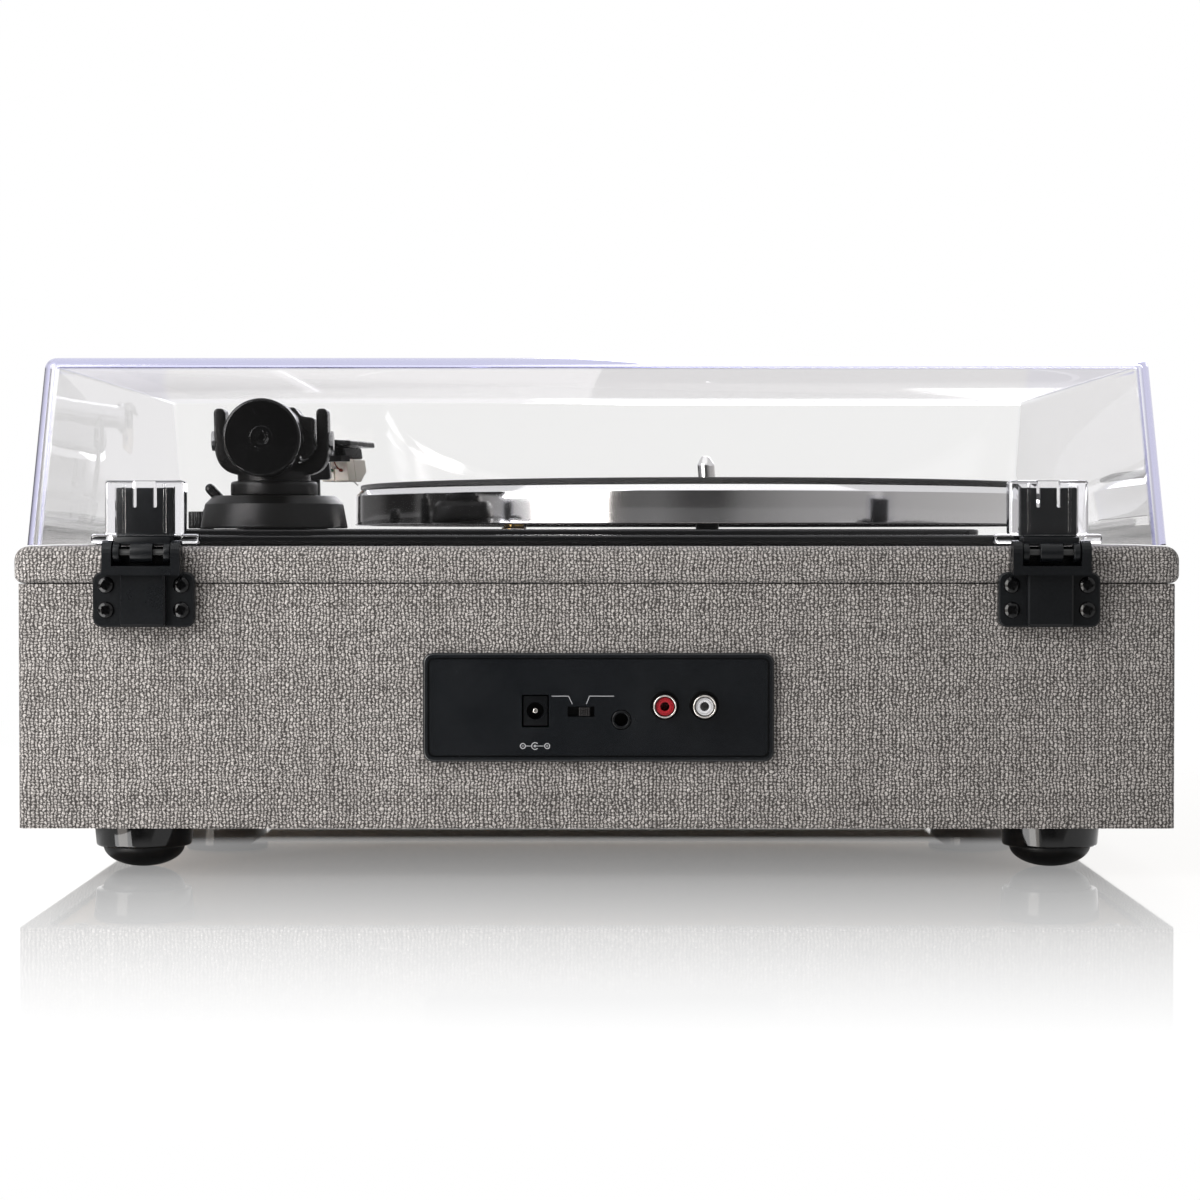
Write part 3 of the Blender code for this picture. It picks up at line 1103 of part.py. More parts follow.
# Platter, mat, spindle and bearing
def make_platter():
    under = PLATTER_TOP_Z - PLATTER_TOP_WALL
    hub_base = PLATTER_BASE_Z + HUB_RAISE
    ring_base = PLATTER_BASE_Z + DRIVE_RING_RAISE
    bore = SPINDLE_RADIUS + SEAT_GAP
    rim = PLATTER_RADIUS - PLATTER_RIM_WALL
    ring = DRIVE_RING_RADIUS - DRIVE_RING_WALL
    profile = [(bore, PLATTER_TOP_Z), (PLATTER_RADIUS - PLATTER_CHAMFER, PLATTER_TOP_Z),
               (PLATTER_RADIUS, PLATTER_TOP_Z - PLATTER_CHAMFER), (PLATTER_RADIUS, PLATTER_BASE_Z + PLATTER_LOW_EDGE),
               (PLATTER_RADIUS - PLATTER_LOW_EDGE, PLATTER_BASE_Z), (rim, PLATTER_BASE_Z), (rim, under),
               (DRIVE_RING_RADIUS, under), (DRIVE_RING_RADIUS, ring_base), (ring, ring_base), (ring, under),
               (HUB_RADIUS, under), (HUB_RADIUS, hub_base), (bore, hub_base)]
    centre = (PLATTER_X, PLATTER_Y, 0)
    axis = (PLATTER_X, PLATTER_Y, PLATTER_BASE_Z)
    add_part("platter", turned_mesh("platter", profile, FINE_STEPS, centre), "aluminium", axis)
    low = PLATTER_TOP_Z + SEAT_GAP
    high = low + MAT_THICKNESS
    add_part("mat", turned_mesh("mat", [
        (MAT_HOLE_RADIUS, high), (MAT_RADIUS - MAT_EDGE, high), (MAT_RADIUS, high - MAT_EDGE), (MAT_RADIUS, low),
        (MAT_HOLE_RADIUS, low)], FINE_STEPS, centre), "felt", axis)
    tip = [(SPINDLE_RADIUS - SPINDLE_TIP_ROUND * (1 - sin(pi / 2 * i / 3)),
            SPINDLE_TIP_Z - SPINDLE_TIP_ROUND * (1 - cos(pi / 2 * i / 3))) for i in range(4)]
    collar_top = hub_base - SEAT_GAP
    collar_base = collar_top - SPINDLE_COLLAR_HEIGHT
    foot = BEARING_BASE_Z + BEARING_FLOOR + SEAT_GAP
    spindle = [(0, SPINDLE_TIP_Z), *tip, (SPINDLE_RADIUS, collar_top), (SPINDLE_COLLAR_RADIUS, collar_top),
               (SPINDLE_COLLAR_RADIUS, collar_base), (SPINDLE_SHAFT_RADIUS, collar_base),
               (SPINDLE_SHAFT_RADIUS, foot), (0, foot)]
    add_part("spindle", turned_mesh("spindle", spindle, ROUND_STEPS, centre), "steel", axis)
    flange_top = DECK_BASE_Z - SEAT_GAP
    bore = SPINDLE_SHAFT_RADIUS + SEAT_GAP
    floor = BEARING_BASE_Z + BEARING_FLOOR
    housing = [(0, floor), (bore, floor), (bore, BEARING_TOP_Z), (BEARING_RADIUS, BEARING_TOP_Z),
               (BEARING_RADIUS, flange_top), (BEARING_FLANGE_RADIUS, flange_top),
               (BEARING_FLANGE_RADIUS, flange_top - BEARING_FLANGE_THICKNESS),
               (BEARING_RADIUS, flange_top - BEARING_FLANGE_THICKNESS), (BEARING_RADIUS, BEARING_BASE_Z),
               (0, BEARING_BASE_Z)]
    add_part("bearing_housing", turned_mesh("bearing_housing", housing, ROUND_STEPS, centre), "black_steel")


# Motor, pulley and belt
def make_motor():
    place = (PULLEY_X, PULLEY_Y, 0)
    low = MOTOR_TOP_Z - MOTOR_HEIGHT
    bore = MOTOR_SHAFT_RADIUS + SEAT_GAP
    sink = MOTOR_TOP_Z - MOTOR_SHAFT_SINK
    collar_top = MOTOR_TOP_Z + MOTOR_COLLAR_HEIGHT
    can = [(0, sink), (bore, sink), (bore, collar_top), (MOTOR_COLLAR_RADIUS, collar_top),
           (MOTOR_COLLAR_RADIUS, MOTOR_TOP_Z), (MOTOR_RADIUS - MOTOR_EDGE, MOTOR_TOP_Z),
           (MOTOR_RADIUS, MOTOR_TOP_Z - MOTOR_EDGE), (MOTOR_RADIUS, low + MOTOR_EDGE),
           (MOTOR_RADIUS - MOTOR_EDGE, low), (0, low)]
    add_part("motor", turned_mesh("motor", can, ROUND_STEPS, place), "steel")
    bracket_low = MOTOR_TOP_Z + SEAT_GAP
    bracket_high = bracket_low + MOTOR_BRACKET_THICKNESS
    end = MOTOR_BRACKET_HALF_LENGTH - MOTOR_BRACKET_HALF_WIDTH
    outline = [*arc((PULLEY_X + end, PULLEY_Y), MOTOR_BRACKET_HALF_WIDTH, -pi / 2, pi / 2, 8),
               *arc((PULLEY_X - end, PULLEY_Y), MOTOR_BRACKET_HALF_WIDTH, pi / 2, 3 * pi / 2, 8)]
    holes = [circle((PULLEY_X, PULLEY_Y), MOTOR_COLLAR_RADIUS + SEAT_GAP, ROUND_STEPS)]
    holes += [circle(spot, DECK_SCREW_SHANK_RADIUS + SEAT_GAP, SMALL_STEPS) for spot in motor_screw_places()]
    add_part("motor_bracket", plate_mesh("motor_bracket", outline, bracket_low, bracket_high, holes=holes), "steel")
    shaft = rod_mesh("motor_shaft", MOTOR_SHAFT_RADIUS, sink + SEAT_GAP, PULLEY_TOP_Z, SMALL_STEPS,
                     (PULLEY_X, PULLEY_Y))
    axis = (PULLEY_X, PULLEY_Y, PULLEY_BASE_Z)
    add_part("motor_shaft", shaft, "steel", axis)
    bore = MOTOR_SHAFT_RADIUS + SEAT_GAP
    low_flange = PULLEY_BASE_Z + PULLEY_FLANGE_HEIGHT
    high_flange = PULLEY_TOP_Z - PULLEY_FLANGE_HEIGHT
    pulley = [(bore, PULLEY_TOP_Z), (PULLEY_FLANGE_RADIUS, PULLEY_TOP_Z), (PULLEY_FLANGE_RADIUS, high_flange),
              (PULLEY_CROWN_RADIUS, high_flange), (PULLEY_CROWN_RADIUS, low_flange),
              (PULLEY_FLANGE_RADIUS, low_flange), (PULLEY_FLANGE_RADIUS, PULLEY_BASE_Z), (bore, PULLEY_BASE_Z)]
    add_part("motor_pulley", turned_mesh("motor_pulley", pulley, SMALL_STEPS, place), "brass", axis)


def belt_loop(grow):
    """The belt's line round the drive ring and the pulley, at a distance outside them."""
    reach = Vector((PULLEY_X - PLATTER_X, PULLEY_Y - PLATTER_Y))
    heading = atan2(reach.y, reach.x)
    wide = DRIVE_RING_RADIUS + grow
    tight = PULLEY_CROWN_RADIUS + grow
    lean = acos((wide - tight) / reach.length)
    return [*arc((PLATTER_X, PLATTER_Y), wide, heading + lean, heading + 2 * pi - lean, 44),
            *arc((PULLEY_X, PULLEY_Y), tight, heading - lean, heading + lean, 8)]


def make_belt():
    outside = belt_loop(SEAT_GAP + BELT_THICKNESS)
    inside = belt_loop(SEAT_GAP)
    add_part("drive_belt", plate_mesh("drive_belt", outside, BELT_BASE_Z, BELT_BASE_Z + BELT_WIDTH, holes=[inside]),
             "rubber_black")


# Tonearm base and yoke
ARM_AXIS = (ARM_X, ARM_Y, ARM_AXIS_Z)
LEVER_AXIS = (ARM_X + LEVER_REACH_X, ARM_Y, ARM_BASE_Z + LEVER_AXIS_HEIGHT)


def make_arm_base():
    centre = (ARM_X, ARM_Y, 0)
    bore = ARM_SHAFT_RADIUS + SEAT_GAP
    spigot_base = ARM_BASE_Z - ARM_SPIGOT_LENGTH
    profile = [(bore, ARM_BASE_TOP_Z), (ARM_BASE_TOP_RADIUS - ARM_BASE_CHAMFER, ARM_BASE_TOP_Z),
               (ARM_BASE_TOP_RADIUS, ARM_BASE_TOP_Z - ARM_BASE_CHAMFER), (ARM_BASE_RADIUS, ARM_BASE_Z),
               (ARM_SPIGOT_RADIUS, ARM_BASE_Z), (ARM_SPIGOT_RADIUS, spigot_base), (bore, spigot_base)]
    base = add_part("arm_base", turned_mesh("arm_base", profile, ROUND_STEPS, centre), "satin_black")
    half = LEVER_RADIUS + SEAT_GAP
    x, y, z = LEVER_AXIS
    cut(base, add_guide("lever_slot", box_mesh(
        "lever_slot", (x - LEVER_SLOT_BACK, y - half, z - LEVER_RADIUS - RUN_GAP),
        (ARM_X + ARM_BASE_RADIUS + OVERRUN, y + half, ARM_BASE_TOP_Z + OVERRUN))))
    pin_half = LEVER_PIN_LENGTH / 2 + SEAT_GAP
    cut(base, add_guide("lever_pin_hole", rod_mesh(
        "lever_pin_hole", LEVER_PIN_RADIUS + SEAT_GAP, y - pin_half, y + pin_half, SMALL_STEPS, (x, z), "Y")))
    nut_top = DECK_BASE_Z - SEAT_GAP
    nut_bore = ARM_SPIGOT_RADIUS + SEAT_GAP
    nut_base = nut_top - ARM_NUT_HEIGHT
    add_part("arm_base_nut", turned_mesh("arm_base_nut", [
        (nut_bore, nut_top), (ARM_NUT_RADIUS, nut_top), (ARM_NUT_RADIUS, nut_base), (nut_bore, nut_base)],
        ROUND_STEPS, centre), "steel")
    edge = ARM_COLLAR_EDGE
    add_part("arm_collar", turned_mesh("arm_collar", [
        (bore, ARM_COLLAR_TOP_Z), (ARM_COLLAR_RADIUS - edge, ARM_COLLAR_TOP_Z),
        (ARM_COLLAR_RADIUS, ARM_COLLAR_TOP_Z - edge), (ARM_COLLAR_RADIUS, ARM_COLLAR_BASE_Z + edge),
        (ARM_COLLAR_RADIUS - edge, ARM_COLLAR_BASE_Z), (bore, ARM_COLLAR_BASE_Z)], ROUND_STEPS, centre),
        "satin_black")


def make_yoke():
    outer = YOKE_HALF_WIDTH
    inner = YOKE_HALF_WIDTH - YOKE_ARM
    tip = YOKE_ARM / 2
    floor = YOKE_BASE_Z + YOKE_FLOOR
    half = [*arc((outer - YOKE_OUTER_ROUND, YOKE_BASE_Z + YOKE_OUTER_ROUND), YOKE_OUTER_ROUND, -pi / 2, 0, 6),
            *arc((outer - tip, YOKE_TOP_Z - tip), tip, 0, pi, 6),
            *arc((inner - YOKE_INNER_ROUND, floor + YOKE_INNER_ROUND), YOKE_INNER_ROUND, 0, -pi / 2, 6)]
    outline = [(ARM_X + x, z) for x, z in half] + [(ARM_X - x, z) for x, z in reversed(half)]
    yoke = add_part("arm_yoke", plate_mesh("arm_yoke", outline, ARM_Y - YOKE_DEPTH / 2, ARM_Y + YOKE_DEPTH / 2, "Y"),
                    "satin_black", ARM_AXIS)
    edges = yoke.modifiers.new("edges", "BEVEL")
    edges.width = YOKE_EDGE
    edges.segments = 1
    edges.limit_method = "ANGLE"
    edges.angle_limit = radians(50)
    shaft_base = ARM_NECK_BASE_Z - ARM_SHAFT_LENGTH
    neck = [(0, YOKE_BASE_Z + OVERRUN), (ARM_NECK_RADIUS - OVERRUN, YOKE_BASE_Z + OVERRUN),
            (ARM_NECK_RADIUS, YOKE_BASE_Z), (ARM_NECK_RADIUS, ARM_NECK_BASE_Z),
            (ARM_SHAFT_RADIUS, ARM_NECK_BASE_Z), (ARM_SHAFT_RADIUS, shaft_base), (0, shaft_base)]
    neck = turned_mesh("yoke_neck", neck, ROUND_STEPS, (ARM_X, ARM_Y, 0))
    for vert in neck.vertices:
        if Vector((vert.co.x - ARM_X, vert.co.y - ARM_Y)).length > ARM_SHAFT_RADIUS + WELD:
            vert.co.y = ARM_Y + (vert.co.y - ARM_Y) * ARM_NECK_DEPTH_SHARE
    fuse(yoke, add_guide("yoke_neck", neck))
    reach = YOKE_HALF_WIDTH + OVERRUN
    cut(yoke, add_guide("pivot_bores", rod_mesh(
        "pivot_bores", PIVOT_SCREW_RADIUS + SEAT_GAP, ARM_X - reach, ARM_X + reach, SMALL_STEPS,
        (ARM_Y, ARM_AXIS_Z), "X")))
    seat = outer + SEAT_GAP
    tip_x = PIVOT_BLOCK_WIDTH / 2 - PIVOT_TIP_REACH
    screw = [(0, seat + PIVOT_SCREW_HEAD), (PIVOT_SCREW_HEAD_RADIUS, seat + PIVOT_SCREW_HEAD),
             (PIVOT_SCREW_HEAD_RADIUS, seat), (PIVOT_SCREW_RADIUS, seat), (PIVOT_SCREW_RADIUS, inner),
             (PIVOT_TIP_RADIUS, inner), (PIVOT_TIP_RADIUS, tip_x), (0, tip_x)]
    right = turned_mesh("pivot_screw", screw, SMALL_STEPS, ARM_AXIS, "X")
    add_part("pivot_screw_left", mirrored_x(right, ARM_X), "steel", ARM_AXIS)
    add_part("pivot_screw_right", right, "steel", ARM_AXIS)


# Pivot block, tube, stub, weight and dial
def make_arm():
    half = Vector((PIVOT_BLOCK_WIDTH, PIVOT_BLOCK_DEPTH, PIVOT_BLOCK_HEIGHT)) / 2
    block = add_part("pivot_block", box_mesh(
        "pivot_block", Vector(ARM_AXIS) - half, Vector(ARM_AXIS) + half, edge=PIVOT_BLOCK_EDGE), "satin_black",
        ARM_AXIS)
    tip_reach = PIVOT_TIP_REACH + SEAT_GAP
    holes = [rod_mesh("hole", PIVOT_TIP_RADIUS + SEAT_GAP, ARM_X + half.x - tip_reach, ARM_X + half.x + OVERRUN,
                      SMALL_STEPS, (ARM_Y, ARM_AXIS_Z), "X"),
             rod_mesh("hole", PIVOT_TIP_RADIUS + SEAT_GAP, ARM_X - half.x - OVERRUN, ARM_X - half.x + tip_reach,
                      SMALL_STEPS, (ARM_Y, ARM_AXIS_Z), "X"),
             rod_mesh("hole", ARM_TUBE_RADIUS + SEAT_GAP, ARM_Y - half.y - OVERRUN,
                      ARM_Y - half.y + ARM_SOCKET_DEPTH, ROUND_STEPS, (ARM_X, ARM_AXIS_Z), "Y"),
             rod_mesh("hole", STUB_RADIUS + SEAT_GAP, ARM_Y + half.y - ARM_SOCKET_DEPTH,
                      ARM_Y + half.y + OVERRUN, ROUND_STEPS, (ARM_X, ARM_AXIS_Z), "Y")]
    cut(block, add_guide("pivot_block_sockets", join_meshes("pivot_block_sockets", holes)))
    tube_back = ARM_Y - half.y + ARM_SOCKET_DEPTH - SEAT_GAP
    tube_front = depth_y(ARM_TUBE_FRONT_DEPTH)
    bend = ARM_Y - half.y - OVERRUN
    add_part("arm_tube", tube_mesh("arm_tube", [
        (ARM_X, tube_back, ARM_AXIS_Z), (ARM_X, bend, ARM_AXIS_Z), (ARM_X, tube_front + SHELL_COLLAR_GRIP, TUBE_FRONT_Z),
        (ARM_X, tube_front, TUBE_FRONT_Z)], ARM_TUBE_RADIUS, 5), "black_steel", ARM_AXIS)
    weight_back = depth_y(WEIGHT_BACK_DEPTH)
    weight_front = weight_back - WEIGHT_LENGTH
    stub_back = weight_back - WEIGHT_CAP - SEAT_GAP
    stub_front = ARM_Y + half.y - ARM_SOCKET_DEPTH + SEAT_GAP
    add_part("arm_stub", rod_mesh("arm_stub", STUB_RADIUS, stub_front, stub_back, ROUND_STEPS,
                                  (ARM_X, ARM_AXIS_Z), "Y"), "steel", ARM_AXIS)
    bore = STUB_RADIUS + SEAT_GAP
    boss = weight_back + WEIGHT_BOSS_HEIGHT
    edge = WEIGHT_EDGE
    weight = [(WEIGHT_EYE_RADIUS, boss), (WEIGHT_BOSS_RADIUS, boss), (WEIGHT_BOSS_RADIUS, weight_back),
              (WEIGHT_RADIUS - edge, weight_back), (WEIGHT_RADIUS, weight_back - edge),
              (WEIGHT_RADIUS, weight_front + edge), (WEIGHT_RADIUS - edge, weight_front), (bore, weight_front),
              (bore, weight_back - WEIGHT_CAP), (WEIGHT_EYE_RADIUS, weight_back - WEIGHT_CAP)]
    place = (ARM_X, 0, ARM_AXIS_Z)
    add_part("counterweight", turned_mesh("counterweight", weight, ROUND_STEPS, place, "Y"), "gloss_black",
             (ARM_X, weight_front, ARM_AXIS_Z))
    dial_back = weight_front - SEAT_GAP
    rim = [(ARM_X + x, ARM_AXIS_Z + z) for x, z in ribbed_outline(DIAL_RADIUS, DIAL_RIB_DEPTH, DIAL_RIBS)]
    add_part("weight_dial", plate_mesh("weight_dial", rim, dial_back - DIAL_LENGTH, dial_back, "Y",
                                       holes=[circle((ARM_X, ARM_AXIS_Z), bore, SMALL_STEPS)]),
             "satin_black", (ARM_X, dial_back, ARM_AXIS_Z))


# Headshell and cartridge, drawn straight ahead and then turned inwards about the bend
COLLAR_BACK_Y = depth_y(ARM_TUBE_FRONT_DEPTH) + SHELL_COLLAR_GRIP
COLLAR_FRONT_Y = COLLAR_BACK_Y - SHELL_COLLAR_LENGTH
BEND_Y = COLLAR_FRONT_Y - SHELL_BEND_FROM_COLLAR


def turned_inwards(mesh):
    """The mesh, drawn from the bend at the origin, turned by the offset angle and put on the arm."""
    mesh.transform(Matrix.Translation((ARM_X, BEND_Y, 0)) @ Matrix.Rotation(-SHELL_OFFSET_ANGLE, 4, "Z"))
    return mesh


def make_headshell():
    tube_front = depth_y(ARM_TUBE_FRONT_DEPTH)
    wide = ARM_TUBE_RADIUS + SEAT_GAP
    narrow = SHELL_NECK_RADIUS + SEAT_GAP
    step = tube_front - SEAT_GAP
    add_part("headshell_collar", turned_mesh("headshell_collar", [
        (wide, COLLAR_BACK_Y), (SHELL_COLLAR_RADIUS, COLLAR_BACK_Y), (SHELL_COLLAR_RADIUS, COLLAR_FRONT_Y),
        (narrow, COLLAR_FRONT_Y), (narrow, step), (wide, step)], ROUND_STEPS, (ARM_X, 0, TUBE_FRONT_Z), "Y"),
        "black_steel", ARM_AXIS)
    back = -SHELL_PLATE_BACK
    front = back - SHELL_LENGTH
    shoulder = back - SHELL_SHOULDER
    half_front = SHELL_FRONT_WIDTH / 2
    outline = [(SHELL_BACK_WIDTH / 2, back), (SHELL_WIDTH / 2, shoulder), (half_front, front + half_front / 2),
               (half_front / 2, front), (-half_front / 2, front), (-half_front, front + half_front / 2),
               (-SHELL_WIDTH / 2, shoulder), (-SHELL_BACK_WIDTH / 2, back)]
    shell = add_part("headshell", turned_inwards(plate_mesh(
        "headshell", outline, SHELL_BASE_Z, SHELL_BASE_Z + SHELL_THICKNESS)), "satin_black", ARM_AXIS)
    edges = shell.modifiers.new("edges", "BEVEL")
    edges.width = SHELL_EDGE
    edges.segments = 1
    edges.limit_method = "ANGLE"
    edges.angle_limit = radians(50)
    fuse(shell, add_guide("neck_boss", turned_inwards(rod_mesh(
        "neck_boss", SHELL_NECK_RADIUS, -SHELL_NECK_LENGTH, SHELL_BEND_FROM_COLLAR / 2, SMALL_STEPS,
        (0, TUBE_FRONT_Z), "Y"))))
    fuse(shell, add_guide("neck_pin", rod_mesh(
        "neck_pin", SHELL_NECK_RADIUS, BEND_Y - SHELL_BEND_FROM_COLLAR / 2, step - SEAT_GAP, SMALL_STEPS,
        (ARM_X, TUBE_FRONT_Z), "Y")))
    root = half_front / 2
    reach = half_front + FINGER_REACH
    low = SHELL_BASE_Z + SHELL_EDGE
    finger = [(root, low), (reach - FINGER_WIDTH, low), (reach, low + FINGER_RISE),
              (reach, low + FINGER_RISE + FINGER_THICKNESS), (reach - FINGER_WIDTH, low + FINGER_THICKNESS),
              (root, low + FINGER_THICKNESS)]
    finger_back = front + FINGER_BACK_FROM_TIP
    fuse(shell, add_guide("finger_lift", turned_inwards(plate_mesh(
        "finger_lift", finger, finger_back - FINGER_WIDTH, finger_back, "Y"))))


def make_cartridge():
    half = CARTRIDGE_WIDTH / 2
    back = -CARTRIDGE_BACK
    front = back - CARTRIDGE_LENGTH
    mount_top = SHELL_BASE_Z - SEAT_GAP
    mount_low = mount_top - CARTRIDGE_TOP_HEIGHT
    add_part("cartridge_mount", turned_inwards(box_mesh(
        "cartridge_mount", (-half + CARTRIDGE_EDGE, front, mount_low), (half - CARTRIDGE_EDGE, back, mount_top),
        edge=CARTRIDGE_EDGE)), "satin_black", ARM_AXIS)
    top = mount_low - SEAT_GAP
    low = top - CARTRIDGE_BODY_HEIGHT
    nose = low + CARTRIDGE_BODY_HEIGHT * CARTRIDGE_NOSE_SHARE
    slope = CARTRIDGE_BODY_HEIGHT * CARTRIDGE_NOSE_SHARE / 2
    outline = [(back, low), (back, top), (front, top), (front, nose), (front + slope, low)]
    body = add_part("cartridge_body", turned_inwards(plate_mesh(
        "cartridge_body", outline, -half, half, "X")), "cream", ARM_AXIS)
    notch = STYLUS_HOLDER_WIDTH / 2 + SEAT_GAP
    notch_back = front + STYLUS_HOLDER_LENGTH + slope
    notch_top = low + STYLUS_HOLDER_HEIGHT
    cut(body, add_guide("stylus_notch", turned_inwards(box_mesh(
        "stylus_notch", (-notch, front - OVERRUN, low - OVERRUN), (notch, notch_back, notch_top)))))
    holder_back = notch_back - SEAT_GAP
    holder_front = holder_back - STYLUS_HOLDER_LENGTH
    holder_top = notch_top - SEAT_GAP
    stylus = add_part("stylus", turned_inwards(box_mesh(
        "stylus", (-STYLUS_HOLDER_WIDTH / 2, holder_front, low + SEAT_GAP),
        (STYLUS_HOLDER_WIDTH / 2, holder_back, holder_top))), "white", ARM_AXIS)
    start = (0, holder_front + OVERRUN, (low + holder_top) / 2)
    end = (0, holder_front + OVERRUN - CANTILEVER_LENGTH, STYLUS_TIP_Z + CANTILEVER_RADIUS)
    fuse(stylus, add_guide("cantilever", turned_inwards(tube_mesh(
        "cantilever", [start, end], CANTILEVER_RADIUS, 1))))


# Arm rest and cueing
def tube_underside_z(reach):
    """Height of the arm tube's underside at a distance in front of the pivot."""
    run_start = PIVOT_BLOCK_DEPTH / 2 + OVERRUN
    run_end = ARM_TUBE_FRONT_DEPTH - ARM_BACK_DEPTH - SHELL_COLLAR_GRIP
    return ARM_AXIS_Z - ARM_TUBE_RADIUS + ARM_TUBE_RISE * (reach - run_start) / (run_end - run_start)


def make_arm_rest():
    base = ARM_BASE_Z
    cradle_top = tube_underside_z(REST_BACK_DEPTH - ARM_BACK_DEPTH) - REST_DROP
    cradle_low = cradle_top - REST_CRADLE_HEIGHT
    post = [(0, cradle_low + OVERRUN), (REST_POST_RADIUS, cradle_low + OVERRUN),
            (REST_POST_RADIUS, base + REST_FOOT_HEIGHT), (REST_FOOT_RADIUS, base + REST_FOOT_HEIGHT),
            (REST_FOOT_RADIUS, base), (REST_POST_RADIUS, base), (REST_POST_RADIUS, base - REST_SPIGOT_LENGTH),
            (0, base - REST_SPIGOT_LENGTH)]
    rest = add_part("arm_rest", turned_mesh("arm_rest", post, SMALL_STEPS, (ARM_X, REST_Y, 0)), "satin_black")
    outer = REST_CRADLE_HALF_WIDTH
    wall = outer - REST_CRADLE_WALL
    wall_top = cradle_low + REST_CRADLE_WALL_HEIGHT
    tip = REST_CRADLE_WALL / 2
    outline = [(-outer + tip, cradle_low), (outer - tip, cradle_low), (outer, cradle_low + tip),
               *arc((outer - tip, wall_top - tip), tip, 0, pi, 6), (wall, cradle_top + tip),
               (wall - tip, cradle_top), (-outer, cradle_top), (-outer, cradle_low + tip)]
    outline = [(ARM_X + x, z) for x, z in outline]
    half = REST_CRADLE_DEPTH / 2
    fuse(rest, add_guide("cradle", plate_mesh("cradle", outline, REST_Y - half, REST_Y + half, "Y")))


def make_cueing():
    y = ARM_Y - CUE_REACH
    base = ARM_BASE_Z
    bore = CUE_POST_RADIUS + SEAT_GAP
    guide = [(bore, base + CUE_GUIDE_HEIGHT), (CUE_GUIDE_RADIUS, base + CUE_GUIDE_HEIGHT), (CUE_GUIDE_RADIUS, base),
             (CUE_SPIGOT_RADIUS, base), (CUE_SPIGOT_RADIUS, base - CUE_GUIDE_SPIGOT), (bore, base - CUE_GUIDE_SPIGOT)]
    add_part("cue_guide", turned_mesh("cue_guide", guide, SMALL_STEPS, (ARM_X, y, 0)), "satin_black")
    top = tube_underside_z(CUE_REACH) - CUE_GAP
    low = top - CUE_PLATFORM_THICKNESS
    half = CUE_PLATFORM_WIDTH / 2
    start = -pi / 2 - CUE_PLATFORM_START
    end = -pi / 2 - CUE_PLATFORM_END
    outline = [*arc((ARM_X, ARM_Y), CUE_REACH + half, start, end, 10),
               *arc((ARM_X, ARM_Y), CUE_REACH - half, end, start, 10)]
    lift = add_part("cue_lift", plate_mesh("cue_lift", outline, low, top), "satin_black", (ARM_X, y, top))
    fuse(lift, add_guide("cue_post", rod_mesh(
        "cue_post", CUE_POST_RADIUS, low - CUE_POST_LENGTH, low + OVERRUN, SMALL_STEPS, (ARM_X, y))))
    x, y, z = LEVER_AXIS
    dome = [(LEVER_RADIUS * sin(pi / 2 * i / 3), LEVER_LENGTH - LEVER_RADIUS * (1 - cos(pi / 2 * i / 3)))
            for i in range(4)]
    stick = turned_mesh("cue_lever", [*dome, (LEVER_RADIUS, 0), (0, 0)], SMALL_STEPS)
    stick.transform(Matrix.Translation(LEVER_AXIS) @ Matrix.Rotation(LEVER_LEAN, 4, "Y"))
    lever = add_part("cue_lever", stick, "satin_black", LEVER_AXIS)
    half = LEVER_PIN_LENGTH / 2
    fuse(lever, add_guide("lever_pin", rod_mesh(
        "lever_pin", LEVER_PIN_RADIUS, y - half, y + half, SMALL_STEPS, (x, z), "Y")))


# Knobs
def make_knob(name, x, y):
    low = PLATEAU_TOP_Z + RUN_GAP
    high = low + KNOB_HEIGHT
    rim = [(x + a, y + b) for a, b in ribbed_outline(KNOB_RADIUS, KNOB_RIB_DEPTH, KNOB_RIBS)]
    knob = add_part(name, plate_mesh(name, rim, low, high), "satin_black", (x, y, low))
    fuse(knob, add_guide(name + "_shaft", rod_mesh(
        "shaft", KNOB_SHAFT_RADIUS, low - KNOB_SHAFT_LENGTH, low + OVERRUN, SMALL_STEPS, (x, y))))
    half = KNOB_RIDGE_WIDTH / 2
    reach = KNOB_RADIUS - KNOB_RIDGE_WIDTH
    fuse(knob, add_guide(name + "_ridge", box_mesh(
        "ridge", (x - half, y - reach, high - OVERRUN), (x + half, y + reach, high + KNOB_RIDGE_HEIGHT))))


def make_knobs():
    places = [(SPEED_KNOB_X, depth_y(SPEED_KNOB_BACK_DEPTH)), (VOLUME_KNOB_X, FRONT_Y + VOLUME_KNOB_FRONT_INSET)]
    make_knob("speed_knob", *places[0])
    make_knob("volume_knob", *places[1])
    top = DECK_BASE_Z - SEAT_GAP
    bore = KNOB_SHAFT_RADIUS + SEAT_GAP
    sink = PLATEAU_TOP_Z + RUN_GAP - KNOB_SHAFT_LENGTH - SEAT_GAP
    profile = [(0, sink), (bore, sink), (bore, top), (CONTROL_RADIUS, top),
               (CONTROL_RADIUS, top - CONTROL_HEIGHT), (0, top - CONTROL_HEIGHT)]
    for name, (x, y) in zip(("speed_control", "volume_control"), places):
        add_part(name, turned_mesh(name, profile, ROUND_STEPS, (x, y, 0)), "steel")


remove_everything()
PARTS = new_collection("turntable")
GUIDES = new_collection("cutters")

make_cabinet_walls()
make_top_board()
make_bottom_panel()
make_feet()
make_speakers()
make_connector_panel()
make_sockets()
make_switch()
make_circuit_board()
for side, word in SIDES:
    make_hinge_bracket(side, "hinge_bracket_" + word)
    make_hinge_leaf(side, "hinge_leaf_" + word)
make_hinge_pins()
make_dust_cover()
make_deck()
make_platter()
make_motor()
make_belt()
make_arm_base()
make_yoke()
make_arm()
make_headshell()
make_cartridge()
make_arm_rest()
make_cueing()
make_knobs()

